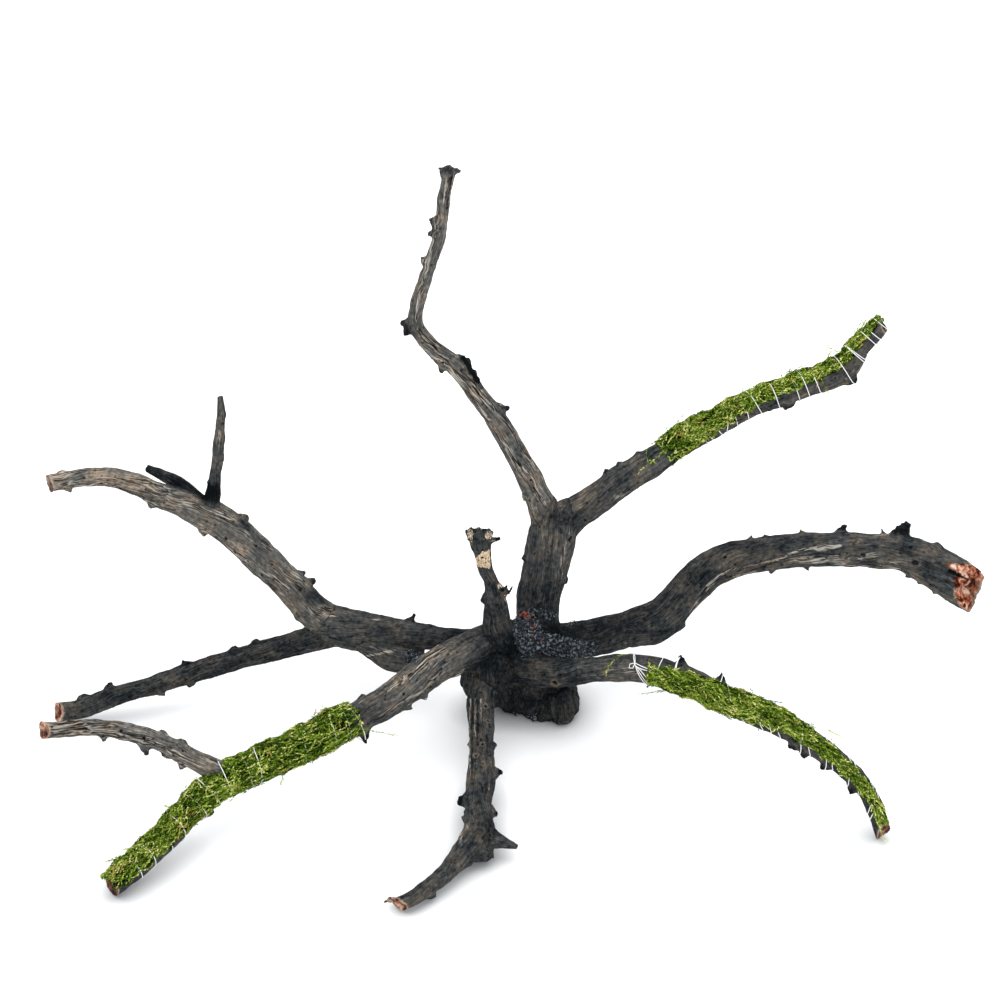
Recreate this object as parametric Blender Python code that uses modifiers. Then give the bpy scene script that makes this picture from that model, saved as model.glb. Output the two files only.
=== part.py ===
"""Bubble moss on driftwood: a dead branching root with three moss mats tied on with white thread.

Run with blender --background --python part.py, or from Blender's text editor.
World frame: +X right, +Y away from the viewer, +Z up, the origin on the floor under the stump.
The routes below are in millimetres and are turned into metres where a mesh is made.
"""

import math

import bmesh
import bpy
from mathutils import Matrix, Vector, noise
from mathutils.bvhtree import BVHTree
from mathutils.kdtree import KDTree

MM = 0.001

# Driving dimensions, in millimetres
GAP = 0.3
KERF = 0.3
WELD = 0.01
VOXEL = 0.8
WOOD_TRIANGLES = 5200
LUMP_SIZE = 9.0
LUMP_HEIGHT = 0.35
MOSS_THICK = 3.0
MOSS_LUMP = 0.5
MOSS_SHIFT = 1.9
MOSS_CLEARANCE = 0.4
MOSS_RING_STEP = 4.0
MOST_SHELL_FACTOR = 2.0
THREAD_RADIUS = 0.2
ROUTE_STEP = 3.0
SPUR_SIDES = 6
SPUR_ROOT_WIDER = 1.5
SPUR_TIP_NARROWER = 0.55
KERF_SIDES = 16
KERF_REACH = 1.25
KERF_MARGIN = 1.6
FLOOR_BLOCK = (400.0, 400.0, 40.0)

# The driftwood: each branch's centreline from its root to its tip, as (x, y, z, radius)
BRANCHES = {
    "upright_stem": [
        (-1, 3, 18, 8.0), (-0.5, 4, 29, 7.0), (0, 6, 39, 7.2), (2, 8, 49, 7.1),
        (4, 10, 58, 7.6), (5.5, 12, 66, 7.0),
    ],
    "tall_branch": [
        (4, 12, 61, 6.0), (0.5, 12, 71, 4.6), (-4, 13, 81.5, 3.8), (-8.6, 14, 90, 3.5),
        (-13.5, 15, 99, 3.4), (-21.8, 17, 110.5, 3.1), (-28, 18, 118, 2.8),
        (-34, 19, 123, 2.5), (-37.8, 20, 128.5, 2.5), (-37.4, 19, 136, 2.2),
        (-33.5, 17, 149.5, 2.1), (-30, 15, 162, 1.95), (-28.5, 13.5, 174, 1.9),
        (-26.5, 12, 183.5, 1.8),
    ],
    "upper_right_branch": [
        (5, 12, 61, 6.5), (11, 13, 66.5, 5.5), (17, 14, 70, 5.2), (26.5, 17, 76.5, 5.0),
        (36, 20, 81, 4.7), (44.5, 23, 86, 4.1), (56, 26, 91, 3.5), (67, 29, 96, 3.2),
        (77, 31, 99, 3.2), (84, 33, 101, 3.2), (93, 34, 104, 3.5), (98, 35, 107.5, 3.2),
        (101, 36, 112.5, 2.5), (104.5, 37, 116.5, 2.3), (108, 38, 121, 2.1),
    ],
    "right_arm": [
        (6, 2, 25, 6.5), (12, 4, 25, 6.0), (20, 6, 25, 6.1), (29, 9, 26, 6.0),
        (40.5, 13, 29, 6.2), (48, 17, 35, 6.1), (54, 20, 40, 6.1), (61.5, 22, 43.5, 5.9),
        (69, 22, 45.5, 5.7), (79, 20, 48.5, 5.5), (92, 17, 51, 5.6), (105, 13, 53, 5.6),
        (113.6, 9, 54.7, 5.7), (119.2, 7, 53.7, 6.2), (124.4, 5, 51.6, 6.6), (129.4, 3, 49.5, 7.0),
        (133, 1, 47.8, 7.2), (136.5, 0, 46.3, 5.8),
    ],
    "right_lower_branch": [
        (-6, -10, 24, 6.0), (5.8, -17, 26.3, 4.9), (14.4, -20.5, 30, 4.3), (22.2, -24, 33, 4.2),
        (30.6, -27.5, 35, 4.3), (37, -30, 35.5, 4.3), (47.8, -36, 35.2, 4.0), (57.7, -42, 32.7, 4.1),
        (69.6, -48.5, 31, 4.0), (80.3, -54, 27, 3.6), (90.5, -59, 21, 3.2), (98.1, -63, 13, 2.8),
        (102.8, -67, 1.4, 2.5),
    ],
    "front_leg": [
        (-13, -9, 26, 6.5), (-18.2, -19, 21.3, 4.7), (-18.2, -30, 14.8, 4.0),
        (-18, -39.5, 12.3, 3.9), (-18.2, -50.5, 9.4, 4.5), (-18.8, -61.5, 7.6, 4.2),
        (-18.6, -71.5, 7.2, 4.8), (-20.5, -77, 6.2, 4.6), (-24.3, -82, 5.1, 3.3),
        (-27.6, -87, 4.6, 2.9), (-32.4, -93, 4.0, 2.6), (-37.5, -98, 3.5, 2.4),
        (-41.2, -100.5, 2.6, 2.3),
    ],
    "left_mossy_branch": [
        (-8, -4, 30, 7.0), (-18.6, -8, 31, 6.2), (-26.3, -14, 30.5, 5.8), (-34, -20, 29.5, 5.5),
        (-46, -31, 26, 5.3), (-53.5, -37, 24.8, 5.2), (-61, -42, 23.5, 4.8), (-71, -49, 21.5, 4.2),
        (-84.3, -55.5, 18.8, 4.0), (-94.3, -61, 16.6, 3.8), (-100.6, -66, 13.5, 3.7),
        (-106.8, -73, 10, 3.4), (-113.4, -81, 7, 3.2), (-120, -88.5, 4.8, 3.2),
        (-124.3, -93, 3.4, 3.3),
    ],
    "left_side_branch": [
        (-94, -60, 19, 3.4), (-104, -61, 26, 2.9), (-112.5, -61, 31.7, 2.8),
        (-121.5, -59, 33.8, 2.7), (-131, -57, 34, 2.65), (-140, -57, 33.5, 2.5),
        (-147.5, -57, 33, 2.6),
    ],
    "left_back_arm": [
        (-10, 1, 25, 5.5), (-25, 2, 25.5, 4.1), (-31.5, 3, 26, 4.0), (-38.5, 5, 25.7, 4.3),
        (-45.5, 7, 25.2, 5.2), (-53, 9, 24.2, 6.2), (-60, 11, 24.2, 6.7), (-66.5, 12, 25.5, 6.8),
    ],
    "left_upper_limb": [
        (-64, 12, 24, 6.6), (-72.5, 13, 30, 5.7), (-80.5, 15, 39.5, 5.2), (-87.5, 17, 46, 5.3),
        (-97, 20, 55, 5.6), (-107, 22, 61.5, 5.3), (-119.5, 23, 67, 4.0), (-130, 22, 72.8, 3.5),
        (-137.5, 21, 75.3, 3.2), (-146, 19, 75.7, 2.9), (-154, 17, 75, 3.0),
    ],
    "left_lower_limb": [
        (-62, 12, 24, 5.8), (-70, 11, 21.8, 4.6), (-78, 9.5, 20.2, 4.0), (-86, 8, 18.3, 3.9),
        (-98, 5.5, 16.2, 3.6), (-113, 2, 13.2, 3.4), (-124, -1.5, 10.7, 3.1),
        (-136, -4.5, 9, 3.2), (-147, -7.5, 5.8, 3.1), (-154, -8.5, 5.4, 3.2),
    ],
    "upright_twig": [
        (-105, 22, 62, 3.2), (-103.3, 22, 69.5, 2.5), (-102.2, 22, 76.5, 2.05),
        (-100.2, 21, 88, 1.75), (-98.9, 20, 99.5, 1.4), (-99, 20, 104.5, 1.1),
    ],
    "centre_stub": [
        (-12, -7, 32, 5.6), (-13.2, -8.5, 39, 4.6), (-13.5, -10, 46, 3.9), (-13.8, -11, 51, 3.2),
        (-15.2, -12, 57, 2.4), (-16.8, -13, 62, 2.5), (-17.4, -14, 67, 2.8),
        (-18.2, -15, 72.5, 3.3), (-18.4, -16, 77.5, 3.8),
    ],
}

# Where each branch is parted from what it grows from: millimetres along its route
KERFS = {
    "upright_stem": 20, "tall_branch": 14, "upper_right_branch": 15, "right_arm": 17,
    "right_lower_branch": 18, "front_leg": 16, "left_mossy_branch": 20, "left_side_branch": 9,
    "left_back_arm": 14, "left_upper_limb": 14, "left_lower_limb": 20, "upright_twig": 9,
    "centre_stub": 9,
}
PAST_KERF = 6.0
NEAREST_VOTES = 5

# The stump's lumps: centre and half sizes. The lowest are cut off flat at the floor.
STUMP = [
    ((3, 4, 3), (10.5, 11, 10)), ((8, -3, 6), (5.5, 6.5, 9)), ((-3, 0, 17), (11, 10, 12)),
    ((-4, -3, 28), (12, 9.5, 9)), ((5, -2, 28), (9, 8, 9)), ((-9, -8, 24), (7.5, 7, 8)),
    ((-6, 4, 6), (8.5, 8.5, 9)), ((-14, 1, 12), (11, 8, 10)),
]

STUMP_MARK = (3, 4, 1)

# Broken side twigs that are more than a spur, as routes of their own
SIDE_STUBS = [
    [(-106, 23, 62, 3.0), (-111.5, 26, 67, 2.4), (-117, 28.5, 69.5, 2.1), (-125.5, 31, 73, 1.2)],
    [(-18, -73, 7, 4.0), (-12, -75.5, 5.6, 2.6), (-7, -76.5, 5.0, 1.5)],
    [(-18, -74, 6.2, 3.8), (-16.5, -79, 3.8, 2.6), (-16, -81, 3.2, 2.2)],
    [(-57, 7, 21, 4.8), (-47, 3, 19.5, 5.2), (-41, 2, 18.5, 4.5), (-37, 2, 18, 3.4)],
]

# Spurs on the branches: (mm along the route, degrees in the view, lean to the viewer,
# length, radius). 0 degrees points right, 90 up; a lean of 1 points at the viewer.
SPURS = {
    "upright_stem": [(33, 168, 0.3, 8.6, 1.3), (29, -17, 0.3, 8.2, 1.3)],
    "tall_branch": [
        (43, 30, 0.2, 5.6, 1.3), (62, 35, 0.2, 5.2, 1.6), (65, 220, 0.2, 4.9, 1.3),
        (82, 197, 0.2, 5.0, 1.9), (80, 215, 0.2, 5.2, 1.6), (104, 165, 0.2, 3.6, 1.1),
        (113, 165, 0.3, 4.0, 1.2), (119, 175, 0.3, 3.8, 1.5), (136, 10, 0.0, 3.8, 1.1),
    ],
    "upper_right_branch": [
        (24, 128, 0.4, 6.6, 1.4), (28, 118, 0.3, 6.2, 1.2), (35, 120, 0.3, 5.9, 1.3),
        (84, -75, 0.1, 4.6, 1.5), (105, -55, 0.2, 5.2, 2.0),
    ],
    "right_arm": [
        (39, -50, 0.2, 10.4, 2.2), (71, 97, 0.2, 7.2, 1.2), (77, 101, 0.2, 7.0, 1.1),
        (88, 89, 0.1, 7.0, 1.2), (101, 88, 0.1, 8.6, 1.9), (114, 91, 0.2, 7.6, 1.2),
        (119, 79, 0.2, 10.6, 2.4), (128, 58, 0.2, 7.2, 1.6), (77, -80, 0.1, 7.2, 1.2),
        (89, -84, 0.1, 7.4, 1.2), (129, -117, 0.1, 7.8, 1.5), (136, -119, 0.1, 8.2, 1.6),
    ],
    "right_lower_branch": [
        (54, 74, 0.2, 7.2, 1.6), (66, 59, 0.2, 7.3, 1.6), (95, -123, 0.2, 5.4, 1.4),
        (100, -129, 0.1, 5.2, 1.3), (107, -132, 0.1, 5.0, 1.5), (119, -142, 0.1, 4.6, 1.4),
    ],
    "front_leg": [
        (43, -4, 0.1, 6.8, 1.5), (56, 173, 0.1, 7.2, 1.8), (33, 0, 0.2, 5.0, 1.2),
        (60, 0, 0.2, 6.2, 1.6), (95, -58, 0.1, 3.6, 0.9),
    ],
    "left_mossy_branch": [
        (55, 114, 0.3, 6.6, 1.4), (60, -66, 0.2, 8.6, 1.5), (37, -54, 0.1, 7.0, 1.2),
        (44, -54, 0.1, 6.8, 1.2), (117, 136, 0.1, 6.0, 1.4), (114, -49, 0.1, 5.2, 1.4),
    ],
    "left_side_branch": [
        (39, -96, 0.1, 4.4, 1.2), (25, -112, 0.1, 5.6, 1.4), (13, -117, 0.1, 4.8, 1.2),
        (23, 60, 0.2, 3.9, 1.1), (16, 74, 0.2, 3.8, 1.1),
    ],
    "left_back_arm": [(32, 82, 0.1, 7.2, 1.4)],
    "left_upper_limb": [
        (47, 47, 0.2, 7.1, 1.5), (18, 41, 0.2, 7.6, 1.5), (22, 41, 0.2, 6.8, 1.2),
        (55, 245, 0.3, 6.6, 1.3), (74, 244, 0.2, 5.2, 1.3), (102, -89, 0.2, 4.4, 1.2),
    ],
    "left_lower_limb": [
        (77, 111, 0.2, 5.2, 1.3), (53, 104, 0.2, 4.8, 1.2), (36, 106, 0.2, 4.8, 1.2),
        (29, 99, 0.2, 5.0, 1.1), (62, -78, 0.2, 4.4, 1.1), (53, -76, 0.2, 4.6, 1.1),
        (86, 123, 0.2, 4.2, 1.2),
    ],
    "centre_stub": [
        (22, 11, 0.3, 5.0, 1.4), (44, 3, 0.2, 6.2, 1.3), (45, 183, 0.1, 4.6, 1.5),
        (18, 188, 0.1, 4.7, 1.3),
    ],
}

# The moss mats: branch, where each starts and ends along it, how far it faces up and towards
# the viewer, and the thread that ties it: its name, start, end and number of turns
MATS = {
    "moss_upper_right": (
        "upper_right_branch", 44, 124, (1.0, 0.35), ("thread_upper_right", 48, 121, 10),
    ),
    "moss_lower_right": (
        "right_lower_branch", 44, 132, (0.45, 1.0), ("thread_lower_right", 46, 127, 10),
    ),
    "moss_left": (
        "left_mossy_branch", 63, 150, (0.75, 0.8), ("thread_left", 66, 138, 8),
    ),
}
THREAD_POINTS_A_TURN = 8
THREAD_RAYS_A_POINT = 4
RAY_START = 16.0

COLOURS = {
    "stump": (0.022, 0.024, 0.027), "upright_stem": (0.045, 0.045, 0.042),
    "tall_branch": (0.135, 0.120, 0.100), "upper_right_branch": (0.060, 0.058, 0.052),
    "right_arm": (0.050, 0.047, 0.043), "right_lower_branch": (0.035, 0.035, 0.034),
    "front_leg": (0.060, 0.055, 0.050), "left_mossy_branch": (0.055, 0.052, 0.047),
    "left_side_branch": (0.150, 0.135, 0.115), "left_back_arm": (0.050, 0.048, 0.044),
    "left_upper_limb": (0.130, 0.115, 0.100), "left_lower_limb": (0.055, 0.052, 0.048),
    "upright_twig": (0.080, 0.070, 0.062), "centre_stub": (0.045, 0.042, 0.038),
}
MOSS_COLOUR = (0.075, 0.140, 0.030)
THREAD_COLOUR = (0.75, 0.75, 0.73)

VIEW_TILT = math.radians(30)
VIEW_RIGHT = Vector((1, 0, 0))
VIEW_UP = Vector((0, math.sin(VIEW_TILT), math.cos(VIEW_TILT)))
VIEW_TOWARDS = Vector((0, -math.cos(VIEW_TILT), math.sin(VIEW_TILT)))


def clear_scene():
    for old in list(bpy.data.objects):
        bpy.data.objects.remove(old, do_unlink=True)


def new_collection(name):
    collection = bpy.data.collections.new(name)
    bpy.context.scene.collection.children.link(collection)
    return collection


def material(name, colour, roughness):
    made = bpy.data.materials.new(name)
    made.use_nodes = True
    shader = made.node_tree.nodes["Principled BSDF"]
    shader.inputs["Base Color"].default_value = (*colour, 1)
    shader.inputs["Roughness"].default_value = roughness
    shader.inputs["Metallic"].default_value = 0
    return made


def smooth_route(points, step=ROUTE_STEP):
    """Points about a step apart on the Catmull-Rom curve through the route's own points."""
    rows = [Vector(p) for p in points]
    rows = [rows[0] * 2 - rows[1]] + rows + [rows[-1] * 2 - rows[-2]]
    smooth = []
    for a, b, c, d in zip(rows, rows[1:], rows[2:], rows[3:]):
        count = max(1, round((c - b).xyz.length / step))
        for i in range(count):
            t = i / count
            smooth.append(0.5 * (2 * b + (c - a) * t + (2 * a - 5 * b + 4 * c - d) * t * t
                                 + (3 * b - a - 3 * c + d) * t ** 3))
    smooth.append(rows[-2])
    return [(row.xyz, row[3]) for row in smooth]


def along(route, distance):
    """The point, its radius and the route's direction at a distance from the route's start."""
    for (a, ra), (b, rb) in zip(route, route[1:]):
        step = (b - a).length
        if distance <= step or b is route[-1][0]:
            t = min(1.0, distance / step)
            return a.lerp(b, t), ra + (rb - ra) * t, (b - a).normalized()
        distance -= step


def mesh_object(name, mesh, collection):
    made = bpy.data.objects.new(name, mesh)
    collection.objects.link(made)
    return made


def baked(source, name, collection):
    """The object as a mesh with its modifiers or curve bevel made real; the source is removed."""
    bpy.context.view_layer.update()
    seen = source.evaluated_get(bpy.context.evaluated_depsgraph_get())
    mesh = bpy.data.meshes.new_from_object(seen)
    if source.type == "CURVE":
        bm = bmesh.new()
        bm.from_mesh(mesh)
        bmesh.ops.remove_doubles(bm, verts=bm.verts, dist=WELD * MM)
        bm.to_mesh(mesh)
        bm.free()
    place = source.matrix_world.copy()
    bpy.data.objects.remove(source, do_unlink=True)
    made = mesh_object(name, mesh, collection)
    made.matrix_world = place
    return made


def tube(name, route, collection, bevel_resolution=2, depth=1.0):
    """A round rod along a route of (point, radius), as a bevelled poly curve with closed ends."""
    curve = bpy.data.curves.new(name, "CURVE")
    curve.dimensions = "3D"
    curve.bevel_depth = depth * MM
    curve.bevel_resolution = bevel_resolution
    curve.use_fill_caps = True
    spline = curve.splines.new("POLY")
    spline.points.add(len(route) - 1)
    for spot, (centre, radius) in zip(spline.points, route):
        spot.co = (*(centre * MM), 1)
        spot.radius = radius
    return baked(mesh_object(name, curve, collection), name, collection)


def spur(name, route, spec, collection):
    """A short broken side twig: a six-sided cone from the branch's middle outwards."""
    distance, degrees, lean, length, radius = spec
    centre, _, _ = along(route, distance)
    angle = math.radians(degrees)
    out = VIEW_RIGHT * math.cos(angle) + VIEW_UP * math.sin(angle) + VIEW_TOWARDS * lean
    out.normalize()
    mesh = bpy.data.meshes.new(name)
    bm = bmesh.new()
    turn = out.to_track_quat("Z", "X").to_matrix().to_4x4()
    place = Matrix.Translation((centre + out * length / 2) * MM) @ turn
    bmesh.ops.create_cone(bm, cap_ends=True, segments=SPUR_SIDES, radius1=radius * SPUR_ROOT_WIDER * MM,
                          radius2=radius * SPUR_TIP_NARROWER * MM, depth=length * MM, matrix=place)
    bm.to_mesh(mesh)
    bm.free()
    return mesh_object(name, mesh, collection)


def lump(name, centre, half, collection):
    mesh = bpy.data.meshes.new(name)
    bm = bmesh.new()
    place = Matrix.Translation(Vector(centre) * MM) @ Matrix.Diagonal(Vector(half) * MM).to_4x4()
    bmesh.ops.create_icosphere(bm, subdivisions=3, radius=1, matrix=place)
    bm.to_mesh(mesh)
    bm.free()
    return mesh_object(name, mesh, collection)


def joined(objects, name, collection):
    """One object holding all the meshes, still overlapping each other."""
    bm = bmesh.new()
    for each in objects:
        bm.from_mesh(each.data)
        bpy.data.objects.remove(each, do_unlink=True)
    mesh = bpy.data.meshes.new(name)
    bm.to_mesh(mesh)
    bm.free()
    return mesh_object(name, mesh, collection)


def moved_along_normals(target, height):
    """Move each vertex along its normal by height(place in mm), in millimetres."""
    mesh = target.data
    normals = [vertex.normal.copy() for vertex in mesh.vertices]
    for vertex, normal in zip(mesh.vertices, normals):
        vertex.co += normal * height(vertex.co / MM) * MM
    mesh.update()


def swollen_copy(source, thickness, collection):
    """A copy whose faces all lie the thickness in millimetres further out, also at the creases."""
    bm = bmesh.new()
    bm.from_mesh(source.data)
    bm.normal_update()
    shifts = [vertex.normal * min(MOST_SHELL_FACTOR, vertex.calc_shell_factor()) for vertex in bm.verts]
    for vertex, shift in zip(bm.verts, shifts):
        vertex.co += shift * thickness * MM
    mesh = bpy.data.meshes.new("swollen")
    bm.to_mesh(mesh)
    bm.free()
    return mesh_object("swollen", mesh, collection)


def cut(target, cutter):
    """The target less the cutter, as a new mesh in the same object."""
    knife = target.modifiers.new("cut", "BOOLEAN")
    knife.object = cutter
    knife.operation = "DIFFERENCE"
    knife.solver = "EXACT"
    bpy.context.view_layer.update()
    seen = target.evaluated_get(bpy.context.evaluated_depsgraph_get())
    mesh = bpy.data.meshes.new_from_object(seen)
    target.modifiers.remove(knife)
    target.data = mesh


def block_under_floor(collection):
    mesh = bpy.data.meshes.new("below_floor")
    bm = bmesh.new()
    size = Vector(FLOOR_BLOCK) * MM
    place = Matrix.Translation((0, 0, -size.z / 2)) @ Matrix.Diagonal(size).to_4x4()
    bmesh.ops.create_cube(bm, size=1, matrix=place)
    bm.to_mesh(mesh)
    bm.free()
    return mesh_object("below_floor", mesh, collection)


def fused_root(routes, collection):
    """The whole root as one closed skin: rods, stubs, spurs and lumps remeshed together."""
    shapes = [tube(name, route, collection) for name, route in routes.items()]
    for number, points in enumerate(SIDE_STUBS):
        shapes.append(tube(f"side_stub_{number}", smooth_route(points), collection))
    for name, specs in SPURS.items():
        shapes += [spur("spur", routes[name], spec, collection) for spec in specs]
    shapes += [lump("lump", centre, half, collection) for centre, half in STUMP]
    root = joined(shapes, "root", collection)
    skin = root.modifiers.new("skin", "REMESH")
    skin.mode = "VOXEL"
    skin.voxel_size = VOXEL * MM
    root = baked(root, "root", collection)
    relax = root.modifiers.new("relax", "SMOOTH")
    relax.factor = 0.5
    relax.iterations = 3
    root = baked(root, "root", collection)
    moved_along_normals(root, lambda p: LUMP_HEIGHT * 2 * noise.noise(p / LUMP_SIZE)
                        + LUMP_HEIGHT * noise.noise(p / LUMP_SIZE * 2.3))
    thin = root.modifiers.new("thin", "DECIMATE")
    thin.ratio = min(1.0, WOOD_TRIANGLES / (2 * len(root.data.vertices)))
    thin.use_collapse_triangulate = True
    return baked(root, "root", collection)


def kerf_discs(routes, collection):
    """Thin discs across the branches just past the forks, like the cut of a fine saw."""
    bm = bmesh.new()
    for name, distance in KERFS.items():
        centre, radius, direction = along(routes[name], distance)
        turn = direction.to_track_quat("Z", "X").to_matrix().to_4x4()
        reach = (radius * KERF_REACH + KERF_MARGIN) * MM
        bmesh.ops.create_cone(bm, cap_ends=True, segments=KERF_SIDES, radius1=reach, radius2=reach,
                              depth=KERF * MM, matrix=Matrix.Translation(centre * MM) @ turn)
    mesh = bpy.data.meshes.new("kerfs")
    bm.to_mesh(mesh)
    bm.free()
    return mesh_object("kerfs", mesh, collection)


def loose_parts(source, collection):
    """Each connected shell of the mesh as an object of its own."""
    bm = bmesh.new()
    bm.from_mesh(source.data)
    bpy.data.objects.remove(source, do_unlink=True)
    seen = set()
    parts = []
    for start in bm.verts:
        if start in seen:
            continue
        shell = [start]
        seen.add(start)
        for vertex in shell:
            for link in vertex.link_edges:
                other = link.other_vert(vertex)
                if other not in seen:
                    seen.add(other)
                    shell.append(other)
        order = {vertex: i for i, vertex in enumerate(shell)}
        faces = [[order[v] for v in face.verts] for face in bm.faces if face.verts[0] in order]
        mesh = bpy.data.meshes.new("shell")
        mesh.from_pydata([vertex.co for vertex in shell], [], faces)
        mesh.update()
        parts.append(mesh_object("shell", mesh, collection))
    bm.free()
    return parts


def named_branches(shells, routes):
    """Give each shell the name of the branch whose tip stretch it holds; the stump holds the foot."""
    marks = {name: along(route, KERFS[name] + PAST_KERF)[0] for name, route in routes.items()}
    marks["stump"] = Vector(STUMP_MARK)
    tree = KDTree(sum(len(shell.data.vertices) for shell in shells))
    owners = []
    for shell in shells:
        for vertex in shell.data.vertices:
            tree.insert(vertex.co, len(owners))
            owners.append(shell)
    tree.balance()
    named = {}
    for name, spot in marks.items():
        votes = [owners[index] for _, index, _ in tree.find_n(spot * MM, NEAREST_VOTES)]
        winner = max(votes, key=votes.count)
        winner.name = name
        named[name] = winner
    return named


def ring_axes(direction, up):
    """Two axes across a direction: the first as near to up as it goes, the second beside it."""
    first = (up - direction * up.dot(direction)).normalized()
    return first, direction.cross(first).normalized()


def largest_shell(target, collection):
    """The target without the crumbs that a cut leaves beside its one big shell."""
    name = target.name
    shells = loose_parts(target, collection)
    shells.sort(key=lambda shell: len(shell.data.vertices))
    for crumb in shells[:-1]:
        bpy.data.objects.remove(crumb, do_unlink=True)
    shells[-1].name = name
    return shells[-1]


def moss_mat(name, route, start, end, face, wood, collection):
    """A mat that lies on one side of its branch, thick in the middle and thin at its edges."""
    rings = round((end - start) / MOSS_RING_STEP)
    path = []
    for i in range(rings + 1):
        t = i / rings
        centre, radius, direction = along(route, start + (end - start) * t)
        up, _ = ring_axes(direction, face)
        full = min(1.0, 0.4 + 5 * min(t, 1 - t))
        thick = (MOSS_THICK + MOSS_LUMP * noise.noise(centre / 5)) * full
        path.append((centre + up * MOSS_SHIFT, radius + thick - MOSS_SHIFT))
    mat = tube(name, path, collection)
    cut(mat, wood)
    return largest_shell(mat, collection)


def windings(name, route, start, end, turns, face, solids, collection):
    """One thread wound round branch and moss, lying just clear of both."""
    points = []
    faces = []
    for solid in solids:
        base = len(points)
        points += [vertex.co / MM for vertex in solid.data.vertices]
        faces += [[base + i for i in polygon.vertices] for polygon in solid.data.polygons]
    surface = BVHTree.FromPolygons(points, faces)
    between = THREAD_RAYS_A_POINT
    fine = THREAD_POINTS_A_TURN * between
    reach = []
    for i in range(turns * fine + 1):
        centre, _, direction = along(route, start + (end - start) * i / (turns * fine))
        up, side = ring_axes(direction, face)
        middle = centre + up * MOSS_THICK / 2
        angle = 2 * math.pi * i / fine
        out = up * math.cos(angle) + side * math.sin(angle)
        hit, _, _, _ = surface.ray_cast(middle + out * RAY_START, -out)
        reach.append((middle, out, (hit - middle).dot(out)))
    stretch = 1 / math.cos(math.pi / THREAD_POINTS_A_TURN)
    path = []
    for i in range(0, len(reach), between):
        widest = max(far for _, _, far in reach[max(0, i - between):i + between + 1])
        middle, out, _ = reach[i]
        path.append((middle + out * (widest * stretch + GAP + THREAD_RADIUS), 1.0))
    return tube(name, path, collection, bevel_resolution=0, depth=THREAD_RADIUS)


def main():
    clear_scene()
    parts = new_collection("bubble moss on driftwood")
    cutters = new_collection("cutters")
    routes = {name: smooth_route(points) for name, points in BRANCHES.items()}
    root = fused_root(routes, parts)
    cut(root, block_under_floor(cutters))
    swollen = swollen_copy(root, MOSS_CLEARANCE, cutters)
    cut(root, kerf_discs(routes, cutters))
    branches = named_branches(loose_parts(root, parts), routes)
    for name, branch in branches.items():
        branch.data.materials.append(material(f"{name} wood", COLOURS[name], 0.8))
    moss = material("moss", MOSS_COLOUR, 0.9)
    thread = material("thread", THREAD_COLOUR, 0.6)
    for name, (branch, start, end, (up, towards), tie) in MATS.items():
        face = VIEW_UP * up + VIEW_TOWARDS * towards
        mat = moss_mat(name, routes[branch], start, end, face, swollen, parts)
        mat.data.materials.clear()
        mat.data.materials.append(moss)
        tie_name, tie_start, tie_end, turns = tie
        tied = windings(tie_name, routes[branch], tie_start, tie_end, turns, face,
                        [branches[branch], mat], parts)
        tied.data.materials.append(thread)
    for cutter in list(cutters.objects):
        bpy.data.objects.remove(cutter, do_unlink=True)
    for part in parts.objects:
        print(part.name, len(part.data.polygons), "faces")


main()
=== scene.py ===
import math

import bmesh
import bpy
import numpy as np
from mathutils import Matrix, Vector, noise
from mathutils.bvhtree import BVHTree


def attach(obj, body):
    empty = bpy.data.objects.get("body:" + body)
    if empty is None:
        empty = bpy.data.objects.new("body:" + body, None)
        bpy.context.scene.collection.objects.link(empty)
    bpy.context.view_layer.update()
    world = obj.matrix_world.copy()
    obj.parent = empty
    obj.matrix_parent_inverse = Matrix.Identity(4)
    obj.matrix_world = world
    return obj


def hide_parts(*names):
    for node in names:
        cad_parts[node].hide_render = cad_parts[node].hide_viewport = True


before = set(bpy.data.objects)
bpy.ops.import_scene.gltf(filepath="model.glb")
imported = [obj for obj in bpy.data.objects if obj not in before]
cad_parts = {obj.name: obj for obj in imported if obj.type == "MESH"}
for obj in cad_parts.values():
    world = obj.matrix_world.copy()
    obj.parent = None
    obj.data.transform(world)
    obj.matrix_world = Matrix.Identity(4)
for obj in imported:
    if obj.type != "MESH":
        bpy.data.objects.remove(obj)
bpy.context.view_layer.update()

# The view. A long lens looks down at the driftwood at thirty degrees from the front, a little
# above its middle. Places that are named by where they show in the picture are found from here.
MM = 0.001
PICTURE = 1000
LENS, SENSOR = 85.0, 36.0
TILT = math.radians(30)
DISTANCE = 726.0
TARGET = np.array((-12.3, 0.0, 78.9))
VIEW_RIGHT = np.array((1.0, 0.0, 0.0))
VIEW_UP = np.array((0.0, math.sin(TILT), math.cos(TILT)))
VIEW_TOWARDS = np.array((0.0, -math.cos(TILT), math.sin(TILT)))
EYE = TARGET + VIEW_TOWARDS * DISTANCE

camera_data = bpy.data.cameras.new("camera")
camera_data.lens = LENS
camera_data.sensor_width = SENSOR
camera_data.clip_end = 10
camera = bpy.data.objects.new("camera", camera_data)
camera.location = EYE * MM
camera.rotation_euler = (math.pi / 2 - TILT, 0, 0)
bpy.context.scene.collection.objects.link(camera)
bpy.context.scene.camera = camera


def ray_through(x, y):
    """The direction from the eye through a point of the picture, counted from its top left."""
    reach = LENS / SENSOR * PICTURE
    ray = VIEW_RIGHT * (x - PICTURE / 2) + VIEW_UP * (PICTURE / 2 - y) - VIEW_TOWARDS * reach
    return ray / np.linalg.norm(ray)


def in_picture(x, y, depth):
    """The place, in mm, that shows at a point of the picture and lies at a depth along +Y."""
    ray = ray_through(x, y)
    return EYE + ray * (depth - EYE[1]) / ray[1]


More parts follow.
